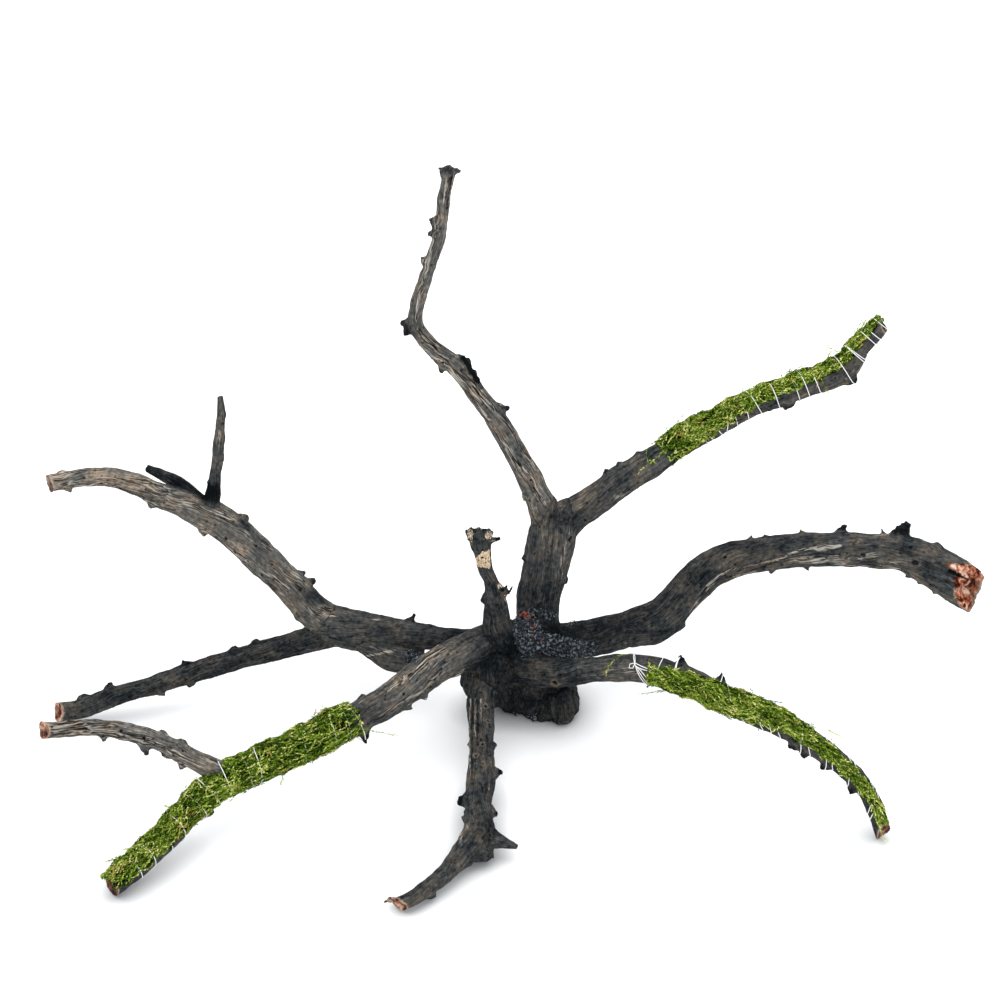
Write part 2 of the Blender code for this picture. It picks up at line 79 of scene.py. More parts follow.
# The driftwood. One dead, water-blackened root of spider wood, grown together where the branches
# meet at the stump and sawn flat below. The bark is gone; the outer branches have weathered to
# pale grain, dry spurs are left of the twigs, and the snapped ends show the red-brown heart.
GRAIN_STEP = 1.0
SKIN_VOXEL = 0.5

# Each branch's centreline from its root to its tip, as (x, y, z, radius) in mm
BRANCHES = {
    "upright_stem": [
        (-1, 3, 18, 8.0), (-0.5, 4, 29, 7.0), (0, 6, 39, 7.2), (2, 8, 49, 7.1),
        (4, 10, 58, 7.6), (5.5, 12, 66, 7.0),
    ],
    "tall_branch": [
        (4, 12, 61, 6.0), (0.5, 12, 71, 4.6), (-4, 13, 81.5, 3.8), (-8.6, 14, 90, 3.5),
        (-13.5, 15, 99, 3.4), (-21.8, 17, 110.5, 3.1), (-28, 18, 118, 2.8),
        (-34, 19, 123, 2.5), (-37.8, 20, 128.5, 2.5), (-37.4, 19, 136, 2.2),
        (-33.5, 17, 149.5, 2.1), (-30, 15, 162, 1.95), (-28.5, 13.5, 174, 1.9),
        (-26.5, 12, 183.5, 1.8),
    ],
    "upper_right_branch": [
        (5, 12, 61, 6.5), (11, 13, 66.5, 5.5), (17, 14, 70, 5.2), (26.5, 17, 76.5, 5.0),
        (36, 20, 81, 4.7), (44.5, 23, 86, 4.1), (56, 26, 91, 3.5), (67, 29, 96, 3.2),
        (77, 31, 99, 3.2), (84, 33, 101, 3.2), (93, 34, 104, 3.5), (98, 35, 107.5, 3.2),
        (101, 36, 112.5, 2.5), (104.5, 37, 116.5, 2.3), (108, 38, 121, 2.1),
    ],
    "right_arm": [
        (6, 2, 25, 6.5), (12, 4, 25, 6.0), (20, 6, 25, 6.1), (29, 9, 26, 6.0),
        (40.5, 13, 29, 6.2), (48, 17, 35, 6.1), (54, 20, 40, 6.1), (61.5, 22, 43.5, 5.9),
        (69, 22, 45.5, 5.7), (79, 20, 48.5, 5.5), (92, 17, 51, 5.6), (105, 13, 53, 5.6),
        (113.6, 9, 54.7, 5.7), (119.2, 7, 53.7, 6.2), (124.4, 5, 51.6, 6.6),
        (129.4, 3, 49.5, 7.0), (133, 1, 47.8, 7.2), (138.5, -0.5, 45.3, 7.0),
    ],
    "right_lower_branch": [
        (-6, -10, 24, 6.0), (5.8, -17, 26.3, 4.9), (14.4, -20.5, 30, 4.3), (22.2, -24, 33, 4.2),
        (30.6, -27.5, 35, 4.3), (37, -30, 35.5, 4.3), (47.8, -36, 35.2, 4.0),
        (57.7, -42, 32.7, 4.1), (69.6, -48.5, 31, 4.0), (80.3, -54, 27, 3.6),
        (90.5, -59, 21, 3.2), (98.1, -63, 13, 2.8), (102.8, -67, 1.4, 2.5),
    ],
    "front_leg": [
        (-13, -6, 22, 6.0), (-18.0, -18, 19.8, 4.5), (-18.2, -30, 14.8, 4.0),
        (-18, -39.5, 12.3, 3.9), (-18.2, -50.5, 9.4, 4.5), (-18.8, -61.5, 7.6, 4.2),
        (-18.6, -71.5, 7.2, 4.8), (-20.5, -77, 6.2, 4.6), (-24.3, -82, 5.1, 3.3),
        (-27.6, -87, 4.6, 2.9), (-32.4, -93, 4.0, 2.6), (-37.5, -98, 3.5, 2.4),
        (-42.2, -101.2, 2.8, 2.3),
    ],
    "left_mossy_branch": [
        (-8, -4, 30, 7.0), (-18.6, -8, 31, 6.2), (-26.3, -14, 30.5, 5.8), (-34, -20, 29.5, 5.5),
        (-46, -31, 26, 5.3), (-53.5, -37, 24.8, 5.2), (-61, -42, 23.5, 4.8),
        (-71, -49, 21.5, 4.2), (-84.3, -55.5, 18.8, 4.0), (-94.3, -61, 16.6, 3.8),
        (-100.6, -66, 13.5, 3.7), (-106.8, -73, 10, 3.4), (-113.4, -81, 7, 3.2),
        (-120, -88.5, 4.8, 3.2), (-125.3, -94, 3.6, 3.3),
    ],
    "left_side_branch": [
        (-94, -60, 19, 3.4), (-104, -61, 26, 2.9), (-112.5, -61, 31.7, 2.8),
        (-121.5, -59, 33.8, 2.7), (-131, -57, 34, 2.65), (-140, -57, 33.5, 2.5),
        (-149, -57, 33, 2.6),
    ],
    "left_back_arm": [
        (-10, 1, 25, 5.5), (-25, 2, 25.5, 4.1), (-31.5, 3, 26, 4.0), (-38.5, 5, 25.7, 4.3),
        (-45.5, 7, 25.2, 5.2), (-53, 9, 24.2, 6.2), (-60, 11, 24.2, 6.7), (-66.5, 12, 25.5, 6.8),
    ],
    "left_upper_limb": [
        (-64, 12, 24, 6.6), (-72.5, 13, 30, 5.7), (-80.5, 15, 39.5, 5.2), (-87.5, 17, 46, 5.3),
        (-97, 20, 55, 5.6), (-107, 22, 61.5, 5.3), (-119.5, 23, 67, 4.0), (-130, 22, 72.8, 3.5),
        (-137.5, 21, 75.3, 3.2), (-146, 19, 75.7, 2.9), (-155.5, 17, 74.8, 3.0),
    ],
    "left_lower_limb": [
        (-62, 12, 24, 5.8), (-70, 11, 21.8, 4.6), (-78, 9.5, 20.2, 4.0), (-86, 8, 18.3, 3.9),
        (-98, 5.5, 16.2, 3.6), (-113, 2, 13.2, 3.4), (-124, -1.5, 10.7, 3.1),
        (-136, -4.5, 9, 3.2), (-147, -7.5, 5.8, 3.1), (-155, -8.5, 5.3, 3.2),
    ],
    "upright_twig": [
        (-105, 22, 62, 3.2), (-103.3, 22, 69.5, 2.5), (-102.2, 22, 76.5, 2.05),
        (-100.2, 21, 88, 1.75), (-98.9, 20, 99.5, 1.4), (-99, 20, 104.5, 1.1),
    ],
    "centre_stub": [
        (-12, -7, 32, 5.6), (-13.2, -8.5, 39, 4.6), (-13.5, -10, 46, 3.9), (-13.8, -11, 51, 3.2),
        (-15.2, -12, 57, 2.4), (-16.8, -13, 62, 2.5), (-17.4, -14, 67, 2.8),
        (-18.2, -15, 72.5, 3.4), (-18.4, -16, 78.0, 4.2),
    ],
}

# Which node each branch grows from, how far along it starts to be its own, and how weathered it
# is at its root and at its tip, from 0 for wet black to 1 for pale dry grain
GROWTH = {
    "upright_stem": ("stump", 20, 0.18, 0.20), "tall_branch": ("upright_stem", 14, 0.42, 0.50),
    "upper_right_branch": ("upright_stem", 15, 0.18, 0.22), "right_arm": ("stump", 17, 0.0, 0.26),
    "right_lower_branch": ("stump", 18, 0.24, 0.06), "front_leg": ("stump", 16, 0.14, 0.12),
    "left_mossy_branch": ("stump", 20, 0.40, 0.12),
    "left_side_branch": ("left_mossy_branch", 9, 0.44, 0.80),
    "left_back_arm": ("stump", 14, 0.0, 0.16), "left_upper_limb": ("left_back_arm", 14, 0.42, 0.62),
    "left_lower_limb": ("left_back_arm", 20, -0.06, 0.0),
    "upright_twig": ("left_upper_limb", 9, 0.0, 0.26), "centre_stub": ("stump", 9, 0.04, 0.10),
}

# The stump's lumps: centre and half sizes. The lowest are sawn off flat at the floor.
STUMP = [
    ((3, 4, 3), (10.5, 11, 10)), ((8, -3, 6), (5.5, 6.5, 9)), ((-3, 0, 17), (11, 10, 12)),
    ((-4, -3, 27), (12, 9.5, 9)), ((6, -2, 25), (9, 8, 7.5)), ((-9, -8, 24), (7.5, 7, 8)),
    ((-6, 4, 6), (8.5, 8.5, 9)), ((-14, 1, 12), (11, 8, 10)), ((-14, -13, 24.5), (7, 6.5, 7)),
]

# Broken side twigs that are more than a spur: the branch they stand on and their centreline
SIDE_STUBS = [
    ("right_arm", [(30, 7, 26, 5.0), (37, 9, 24.5, 4.0), (43, 11, 25.5, 3.0), (47.5, 12, 26.2, 1.3)]),
    ("left_upper_limb", [(-106, 23, 62, 3.0), (-111.5, 26, 67, 2.4), (-117, 28.5, 69.5, 2.1),
                         (-125.5, 31, 73, 1.2)]),
    ("front_leg", [(-18, -73, 7, 4.2), (-13.5, -74.8, 6.0, 2.7), (-10.3, -75.8, 5.5, 1.5), (-7, -76.7, 5.0, 0.7)]),
    ("front_leg", [(-18, -74, 6.2, 3.8), (-16.9, -78, 4.4, 2.4), (-16.2, -81, 3.4, 1.2)]),
    ("front_leg", [(-18, -74, 6.2, 3.4), (-18.6, -78, 4.4, 1.8), (-18.8, -81.4, 3.2, 0.8)]),
    ("left_back_arm", [(-63, 10, 24, 3.0), (-55, 7, 22, 4.4), (-47, 3, 19.5, 5.2), (-41, 2, 18.5, 4.5),
                       (-37, 2, 18, 3.4)]),
]

# Spurs: (mm along the branch, degrees in the view, lean to the viewer, length, radius).
# 0 degrees points right and 90 up; a lean of 1 points at the viewer.
SPURS = {
    "upright_stem": [(33, 168, 0.3, 8.6, 1.3), (29, -17, 0.3, 8.2, 1.3)],
    "tall_branch": [
        (43, 30, 0.2, 5.6, 1.3), (62, 35, 0.2, 5.2, 1.6), (65, 220, 0.2, 4.9, 1.3),
        (82, 197, 0.2, 5.0, 1.9), (80, 215, 0.2, 5.2, 1.6), (104, 165, 0.2, 3.6, 1.1),
        (113, 165, 0.3, 4.0, 1.2), (119, 175, 0.3, 3.8, 1.5), (136, 10, 0.0, 3.8, 1.1),
    ],
    "upper_right_branch": [
        (24, 128, 0.4, 6.6, 1.4), (28, 118, 0.3, 6.2, 1.2), (35, 120, 0.3, 5.9, 1.3),
        (84, -75, 0.1, 4.6, 1.5), (105, -55, 0.2, 5.2, 2.0),
    ],
    "right_arm": [
        (71, 97, 0.2, 7.2, 0.7), (77, 101, 0.2, 7.0, 0.7),
        (88, 89, 0.1, 6.9, 0.7), (101, 88, 0.1, 8.3, 1.7), (114, 91, 0.2, 7.6, 0.9),
        (119, 79, 0.2, 10.6, 2.4), (128, 58, 0.2, 7.2, 1.6), (77, -80, 0.1, 6.9, 0.7),
        (89, -84, 0.1, 7.1, 0.7), (125, -117, 0.1, 7.2, 0.6), (129, -117, 0.1, 7.4, 0.6),
        (135, -119, 0.1, 7.9, 0.7), (139, -119, 0.1, 7.7, 0.7),
    ],
    "right_lower_branch": [
        (54, 74, 0.2, 7.2, 1.6), (66, 59, 0.2, 7.3, 1.6), (95, -123, 0.2, 5.4, 1.4),
        (100, -129, 0.1, 5.2, 1.3), (107, -132, 0.1, 5.0, 1.5), (119, -142, 0.1, 4.6, 1.4),
    ],
    "front_leg": [
        (43, -4, 0.1, 6.8, 1.5), (56, 173, 0.1, 7.2, 1.8), (33, 0, 0.2, 5.0, 1.2),
        (60, 0, 0.2, 6.2, 1.6), (95, -58, 0.1, 3.6, 0.9),
        (107, 168, 0.3, 5.6, 0.7), (33, 180, 0.2, 4.9, 0.8), (62, 180, 0.2, 5.6, 0.9),
    ],
    "left_mossy_branch": [
        (55, 114, 0.3, 6.6, 1.4), (60, -66, 0.2, 8.6, 1.5), (37, -54, 0.1, 7.0, 1.2),
        (44, -54, 0.1, 6.8, 1.2), (117, 136, 0.1, 6.0, 1.4), (114, -49, 0.1, 5.2, 1.4),
    ],
    "left_side_branch": [
        (39, -96, 0.1, 4.4, 1.2), (25, -112, 0.1, 5.6, 1.4), (13, -117, 0.1, 4.8, 1.2),
        (23, 60, 0.2, 3.9, 1.1), (16, 74, 0.2, 3.8, 1.1),
    ],
    "left_back_arm": [(32, 82, 0.1, 7.2, 1.4)],
    "left_upper_limb": [
        (47, 47, 0.2, 7.1, 1.5), (18, 41, 0.2, 7.6, 1.5), (22, 41, 0.2, 6.8, 1.2),
        (55, 245, 0.3, 6.6, 1.3), (74, 244, 0.2, 5.2, 1.3), (102, -89, 0.2, 4.4, 1.2),
    ],
    "left_lower_limb": [
        (77, 111, 0.2, 5.2, 1.3), (53, 104, 0.2, 4.8, 1.2), (36, 106, 0.2, 4.8, 1.2),
        (29, 99, 0.2, 5.0, 1.1), (62, -78, 0.2, 4.4, 1.1), (53, -76, 0.2, 4.6, 1.1),
        (86, 123, 0.2, 4.2, 1.2),
    ],
    "centre_stub": [
        (20, 14, 0.3, 5.0, 1.4), (19, 60, 0.5, 4.6, 0.9),
        (46, 40, 0.3, 5.2, 0.9), (46, 70, 0.4, 5.0, 0.8), (46, 100, 0.2, 4.8, 0.9), (46, 128, 0.3, 5.0, 0.8),
        (45, 168, 0.2, 4.6, 1.0), (44, 195, 0.3, 4.4, 0.9), (18, 188, 0.1, 4.7, 1.3),
    ],
}

# Splinters left where the wood snapped, by where they show: the points of the picture they run
# through, how deep they lie along +Y in mm, and their radius at the foot and at the tip
SPLINTERS = [
    ([(484, 543), (492, 540.5), (499.5, 538)], -14.0, 1.0, 0.3),
    ([(503, 593), (506, 588), (507.5, 583)], -9.5, 0.55, 0.3), ([(507, 594), (511, 589.5), (513, 586)], -9.0, 0.55, 0.3),
    ([(448, 176), (456, 172), (463, 168)], 12.0, 0.9, 0.4), ([(448, 174), (450, 167), (452, 161)], 12.0, 0.9, 0.4),
    ([(444, 178), (442, 172), (440, 167)], 12.0, 0.9, 0.4),
    ([(479, 384), (469, 367), (461.5, 357)], 13.0, 0.9, 1.1),
    ([(482, 848), (483, 855), (483.5, 860)], -79.0, 1.0, 0.4), ([(487, 847), (489, 855), (489.5, 861)], -79.0, 1.0, 0.4),
    ([(490, 846), (492, 853), (493.5, 859)], -78.0, 0.9, 0.4),
    ([(399, 900), (390, 900), (382, 904)], -98.0, 0.8, 0.4),
]

# The snapped ends: how far the break lies before the route's end, which way it faces in the
# view (right, up, towards), how red its heart is, how deep it is torn and how far it is hollow
ENDS = {
    "right_arm": (1.6, (0.66, -0.1, 0.72), 1.0, 2.0, 1.0),
    "left_side_branch": (1.2, (-0.75, -0.05, 0.65), 0.65, 0.4, 0.4),
    "left_lower_limb": (1.0, (-0.8, -0.05, 0.6), 0.75, 0.6, 0.6),
    "left_upper_limb": (1.5, (-0.85, -0.3, 0.42), 0.25, 0.6, 1.2),
    "front_leg": (1.2, (-0.5, -0.6, 0.6), 0.8, 0.8, 0.6),
    "left_mossy_branch": (1.0, (-0.75, -0.35, 0.55), 0.35, 0.5, 0.5),
    "upper_right_branch": (0.8, (0.8, 0.4, 0.4), 0.3, 0.8, 0.6),
    "tall_branch": (0.2, (0.3, 0.9, 0.2), 0.0, 1.0, 0.0),
    "right_lower_branch": (0.6, (0.6, -0.5, 0.6), 0.4, 0.5, 0.2),
    "centre_stub": (0.6, (0.1, 1.0, 0.05), 0.0, 2.2, 0.6),
}

def smooth_route(points, step=GRAIN_STEP):
    """Rows of (x, y, z, radius) about a step apart on the smooth curve through the given ones."""
    rows = np.array(points, float)
    rows = np.vstack([2 * rows[0] - rows[1], rows, 2 * rows[-1] - rows[-2]])
    made = []
    for a, b, c, d in zip(rows, rows[1:], rows[2:], rows[3:]):
        count = max(1, round(np.linalg.norm((c - b)[:3]) / step))
        t = np.arange(count)[:, None] / count
        made.append(0.5 * (2 * b + (c - a) * t + (2 * a - 5 * b + 4 * c - d) * t ** 2
                           + (3 * b - a - 3 * c + d) * t ** 3))
    return np.vstack(made + [rows[-2:-1]])


def with_frames(rows):
    """The route with its run in mm, its direction and two axes across it that don't twist."""
    centre = rows[:, :3]
    run = np.concatenate([[0], np.cumsum(np.linalg.norm(np.diff(centre, axis=0), axis=1))])
    ahead = np.gradient(centre, axis=0)
    ahead /= np.linalg.norm(ahead, axis=1)[:, None]
    across = np.empty_like(centre)
    side = np.cross(ahead[0], (0.31, 0.59, 0.74))
    for i, way in enumerate(ahead):
        side = side - way * (side @ way)
        side = side / np.linalg.norm(side)
        across[i] = side
    return {"centre": centre, "radius": rows[:, 3], "run": run, "ahead": ahead,
            "across": across, "beside": np.cross(ahead, across)}


def rod(name, rows, sides=12):
    """A round rod along rows of (x, y, z, radius), as a bevelled curve with closed ends."""
    curve = bpy.data.curves.new(name, "CURVE")
    curve.dimensions = "3D"
    curve.bevel_depth = MM
    curve.bevel_resolution = (sides - 4) // 2
    curve.use_fill_caps = True
    spline = curve.splines.new("POLY")
    spline.points.add(len(rows) - 1)
    for spot, row in zip(spline.points, rows):
        spot.co = (*(row[:3] * MM), 1)
        spot.radius = row[3]
    made = bpy.data.objects.new(name, curve)
    bpy.context.scene.collection.objects.link(made)
    return made


def spur(route, spec):
    """A dry spur: wide where it leaves the branch, thin and a little hooked at its tip."""
    along, degrees, lean, length, radius = spec
    at = int(np.searchsorted(route["run"], along).clip(0, len(route["run"]) - 1))
    angle = math.radians(degrees)
    out = VIEW_RIGHT * math.cos(angle) + VIEW_UP * math.sin(angle) + VIEW_TOWARDS * lean
    out /= np.linalg.norm(out)
    hook = route["ahead"][at] * math.sin(along * 1.7)
    wood = min(route["radius"][at] * 0.95, length - 0.4)
    proud = (length - wood) * 0.85
    rows = [route["centre"][at] + out * reach + hook * bend for reach, bend in (
        (0, -1.6), (wood * 0.8, -0.9), (wood + proud * 0.15, -0.2), (wood + proud * 0.6, 0.3),
        (wood + proud, 0.9))]
    return rod("spur", np.column_stack([rows, radius * np.array((1.5, 1.6, 1.25, 0.7, 0.45))]), 8)


def lump(centre, half):
    bpy.ops.mesh.primitive_ico_sphere_add(subdivisions=4, radius=1)
    made = bpy.context.object
    for vertex in made.data.vertices:
        vertex.co = Vector(c + h * x for c, h, x in zip(centre, half, vertex.co)) * MM
    return made


def fused(shapes, voxel, relax):
    """The shapes grown together: joined, skinned with one closed mesh and relaxed."""
    bpy.ops.object.select_all(action="DESELECT")
    for shape in shapes:
        shape.select_set(True)
    bpy.context.view_layer.objects.active = shapes[0]
    bpy.ops.object.convert(target="MESH")
    bpy.ops.object.join()
    whole = bpy.context.object
    skin = whole.modifiers.new("skin", "REMESH")
    skin.mode = "VOXEL"
    skin.voxel_size = voxel * MM
    bpy.ops.object.modifier_apply(modifier="skin")
    soft = whole.modifiers.new("relax", "SMOOTH")
    soft.iterations = relax
    bpy.ops.object.modifier_apply(modifier="relax")
    return whole


def vertex_places(mesh):
    places = np.empty(len(mesh.vertices) * 3)
    mesh.vertices.foreach_get("co", places)
    return places.reshape(-1, 3) / MM


def noises(places, size, seed=0.0):
    """Smooth noise from -1 to 1 at places in mm, with lumps of about the size."""
    sizes = np.broadcast_to(size, 3)
    return np.array([noise.noise((x, y, z)) for x, y, z in places / sizes + seed])


def ramp(x, low, high):
    t = np.clip((x - low) / (high - low), 0, 1)
    return t * t * (3 - 2 * t)


routes = {name: with_frames(smooth_route(points)) for name, points in BRANCHES.items()}
shapes = [rod(name, smooth_route(points, 2.0)) for name, points in BRANCHES.items()]
shapes += [rod("side_stub", smooth_route(points)) for _, points in SIDE_STUBS]
shapes += [spur(routes[name], spec) for name, specs in SPURS.items() for spec in specs]
for points, depth, foot, tip in SPLINTERS:
    places = np.array([in_picture(x, y, depth) for x, y in points])
    shapes.append(rod("splinter", np.column_stack([places, np.linspace(foot, tip, len(points))]), 8))
shapes += [lump(centre, half) for centre, half in STUMP]
for name, route in routes.items():
    for along in np.arange(12, route["run"][-1] - 4, 5.5):
        here = along + 2.2 * math.sin(along * 7.1 + len(name))
        size = 0.62 + 0.25 * math.sin(along * 3.3)
        at = int(np.searchsorted(route["run"], here))
        proud = route["radius"][min(at, len(route["run"]) - 1)] + 0.35 + 0.35 * math.sin(along * 5.9)
        shapes.append(spur(route, (here, (along * 137.5) % 360, 0.3, proud, size)))
root = fused(shapes, SKIN_VOXEL, 2)
skin = vertex_places(root.data)
quads = np.empty(len(root.data.polygons) * 4, int)
root.data.polygons.foreach_get("vertices", quads)
quads = quads.reshape(-1, 4)
bpy.data.objects.remove(root, do_unlink=True)

# Where each point of the skin lies in the grain: along the nearest branch and across it
NODES = ["stump", *BRANCHES]
samples = {"centre": [], "radius": [], "run": [], "ahead": [], "across": [], "beside": []}
sample_branch = []
for name, route in routes.items():
    for key in samples:
        samples[key].append(route[key])
    sample_branch += [NODES.index(name)] * len(route["run"])
for name, points in SIDE_STUBS:
    stub = with_frames(smooth_route(points))
    stub["run"] = stub["run"] + GROWTH[name][1] + 30
    for key in samples:
        samples[key].append(stub[key])
    sample_branch += [NODES.index(name)] * len(stub["run"])
for centre, half in STUMP:
    samples["centre"].append(np.array([centre], float))
    samples["radius"].append(np.array([min(half)], float))
    samples["run"].append(np.array([centre[2]], float))
    samples["ahead"].append(np.array([(0.0, 0.0, 1.0)]))
    samples["across"].append(np.array([(1.0, 0.0, 0.0)]))
    samples["beside"].append(np.array([(0.0, 1.0, 0.0)]))
    sample_branch.append(0)
samples = {key: np.concatenate(rows) for key, rows in samples.items()}
sample_branch = np.array(sample_branch)


def nearest_samples(places):
    """For each place, the sample whose wood it lies nearest to."""
    best = np.empty(len(places), int)
    lengths = (samples["centre"] ** 2).sum(1)
    for start in range(0, len(places), 8000):
        some = places[start:start + 8000]
        apart = (some ** 2).sum(1)[:, None] + lengths - 2 * some @ samples["centre"].T
        best[start:start + 8000] = (np.sqrt(np.maximum(apart, 0)) - samples["radius"]).argmin(1)
    return best


near = nearest_samples(skin)
out = skin - samples["centre"][near]
run = samples["run"][near] + (out * samples["ahead"][near]).sum(1)
across = (out * samples["across"][near]).sum(1)
beside = (out * samples["beside"][near]).sum(1)
radial = np.hypot(across, beside)
girth = samples["radius"][near]
turned = run * 0.02
grain = np.stack([across * np.cos(turned) - beside * np.sin(turned),
                  across * np.sin(turned) + beside * np.cos(turned),
                  run + sample_branch[near] * 61.0], 1)
unit = np.stack([grain[:, 0] / radial.clip(0.5), grain[:, 1] / radial.clip(0.5), grain[:, 2]], 1)

# Flutes, cracks and lumps lift and sink the skin along its normals
shape = bpy.data.meshes.new("shape")
shape.from_pydata(skin, [], quads.tolist())
normals = np.empty(len(skin) * 3)
shape.vertex_normals.foreach_get("vector", normals)
normals = normals.reshape(-1, 3)
flute = noises(unit, (0.75, 0.75, 26.0))
groove = np.abs(noises(unit, (0.40, 0.40, 15.0), 7.3))
lumps = noises(skin, 7.0) * 0.42 + noises(skin, 2.6, 3.1) * 0.22
rise = flute * girth * 0.10 + lumps - 0.26 * (1 - ramp(groove, 0.0, 0.14)) * ramp(girth, 1.0, 4.0)
on_stump = sample_branch[near] == 0
rise[on_stump] += noises(skin[on_stump], (1.6, 1.6, 3.2), 9.4) * 0.7
stands = radial - girth
stands[on_stump] = 0
rise += noises(skin, (1.2, 1.2, 1.6), 8.8) * 0.75 * ramp(stands, 0.5, 1.8)
# Painted shade for the hollows: how deep the flute troughs and grooves lie, darkened in the colour below.
painted_cavity_shade = np.maximum(ramp(-flute, 0.05, 0.45) * 0.6, 1 - ramp(groove, 0.02, 0.10))

weather_and_shade = np.zeros(len(skin))
heart = np.zeros(len(skin))
rim = np.zeros(len(skin))
shadowed = np.zeros(len(skin))
moved = skin + normals * rise[:, None]
for name, (before, facing, red, torn, hollow) in ENDS.items():
    route = routes[name]
    face = VIEW_RIGHT * facing[0] + VIEW_UP * facing[1] + VIEW_TOWARDS * facing[2]
    face /= np.linalg.norm(face)
    ahead = route["ahead"][-1]
    place = route["centre"][-1] - ahead * before
    mine = (sample_branch[near] == NODES.index(name)) & (route["run"][-1] - run < 14) & (radial < girth * 1.6 + 2)
    past = (moved - place) @ face
    tear = torn * (0.6 * noises(moved[mine], 2.2, 5.7) + 0.35 * noises(moved[mine], 0.9, 1.3))
    past = past[mine] - tear
    over = past > 0
    index = np.flatnonzero(mine)
    slide = max(0.35, float(ahead @ face))
    sunk = hollow * (1 - ramp(radial[index[over]] / girth[index[over]], 0.35, 0.85))
    moved[index[over]] -= ahead * (past[over] / slide + sunk)[:, None]
    heart[index] = np.maximum(heart[index], ramp(past, -0.12, 0.12) * red)
    if red:
        edge = ramp(past, -0.7, -0.2) * (1 - ramp(past, -0.1, 0.3))
        rim[index] = np.maximum(rim[index], edge * 0.75)
    shadowed[index[over]] = np.maximum(shadowed[index[over]], sunk / 2.6)

moved[:, 2] = np.maximum(moved[:, 2], 0.0)
for name, (_, _, at_root, at_tip) in GROWTH.items():
    mine = sample_branch[near] == NODES.index(name)
    share = np.clip(run / routes[name]["run"][-1], 0, 1)
    weather_and_shade[mine] = (at_root + (at_tip - at_root) * share)[mine]
stump_share = ramp(np.linalg.norm(skin - (-2.0, -2.0, 22.0), axis=1), 14.0, 40.0)
weather_and_shade = weather_and_shade * (0.25 + 0.75 * stump_share) - 0.14 * (1 - stump_share)
links = np.concatenate([quads[:, [0, 1]], quads[:, [1, 2]], quads[:, [2, 3]], quads[:, [3, 0]]])
shared = np.bincount(links[:, 0], minlength=len(skin)).clip(1)
for _ in range(24):
    weather_and_shade = 0.4 * weather_and_shade + 0.6 * np.bincount(
        links[:, 0], weights=weather_and_shade[links[:, 1]], minlength=len(skin)) / shared
# Spurs that stand out are darker, and the flute troughs and grooves are darkened as painted shade.
weather_and_shade -= 0.55 * ramp(stands, 0.5, 1.6) + 0.16 * painted_cavity_shade

# Each point belongs to the node it lies on; a branch's first stretch is the wood it grows from
owner = sample_branch[near].copy()
for name, (parent, start, _, _) in GROWTH.items():
    owner[(sample_branch[near] == NODES.index(name)) & (run < start)] = NODES.index(parent)

wood_tree = BVHTree.FromPolygons(moved.tolist(), quads.tolist())
EYE_VECTOR = Vector(EYE)


def seen_wood(x, y):
    """Where the wood shows at a point of the picture, in mm, and its normal there."""
    hit, normal, _, _ = wood_tree.ray_cast(EYE_VECTOR, Vector(ray_through(x, y)))
    return None if hit is None else (np.array(hit), np.array(normal))


# Knots: where they show in the picture, their radius in mm and how pale their ring is. Their
# sunk pits are painted near black as shade.
KNOTS = [
    (555, 683, 1.4, 0.45), (570, 539, 1.6, 0.15), (482.5, 744, 0.9, 0.6), (476, 756, 0.9, 0.6),
    (483, 763, 0.7, 0.5), (486, 706, 0.9, 0.5), (488, 721, 0.7, 0.4), (482.5, 558, 1.0, 0.0),
    (863, 555, 1.3, 0.12), (915, 563, 1.7, 0.16), (502.5, 590, 1.3, 0.0), (725, 557, 0.9, 0.15), (731, 577, 1.2, 0.0), (121, 731, 1.0, 0.1),
    (144, 738, 0.9, 0.0), (183, 751, 0.8, 0.0), (647, 660, 0.8, 0.3), 
    (531, 480, 0.7, 0.1), (585, 520, 0.9, 0.1), (235, 553, 1.0, 0.1), (566, 610, 0.7, 0.2),
    (205, 535, 0.7, 0.1), (262, 575, 0.9, 0.0), (420, 330, 0.7, 0.0), (443, 363, 0.8, 0.0),
    (226, 539, 1.0, 0.0), (256, 546, 0.8, 0.1), (300, 590, 0.8, 0.0), (655, 600, 0.6, 0.0),
    (548, 560, 0.6, 0.0), (541, 585, 0.5, 0.0), (570, 578, 0.5, 0.0), (404, 694, 0.8, 0.1),
    (430, 686, 0.6, 0.0), (372, 700, 0.7, 0.0), (640, 618, 0.6, 0.0), (690, 575, 0.6, 0.0),
    (490, 835, 0.7, 0.2), (455, 860, 0.6, 0.2), (484, 817, 0.7, 0.0), (930, 585, 0.8, 0.0),
]
knot = np.full(len(skin), 3.0)
ring = np.zeros(len(skin))
wobble = noises(moved, 0.9, 2.2) * 0.3
for x, y, size, light in KNOTS:
    found = seen_wood(x, y)
    if found:
        apart = np.linalg.norm(moved - found[0], axis=1) / size + wobble
        knot = np.minimum(knot, apart)
        ring = np.maximum(ring, light * ramp(apart, 0.5, 0.8) * (1 - ramp(apart, 0.95, 1.25)))

# The split in the right arm's torn end, as points of the picture. It is sunk like a knot's pit
# and painted near black as shade.
SPLIT = [(950, 571), (957, 574), (964, 578), (971, 582)]
for (x, y), (x2, y2) in zip(SPLIT, SPLIT[1:]):
    for share in (0, 0.34, 0.67):
        found = seen_wood(x + (x2 - x) * share, y + (y2 - y) * share)
        if found:
            knot = np.minimum(knot, np.linalg.norm(moved - found[0], axis=1) / 1.2)
moved += normals * (0.3 * ramp(knot, 0.4, 0.9) * (1 - ramp(knot, 1.0, 1.6))
                    - 0.8 * (1 - ramp(knot, 0.2, 0.7)))[:, None]
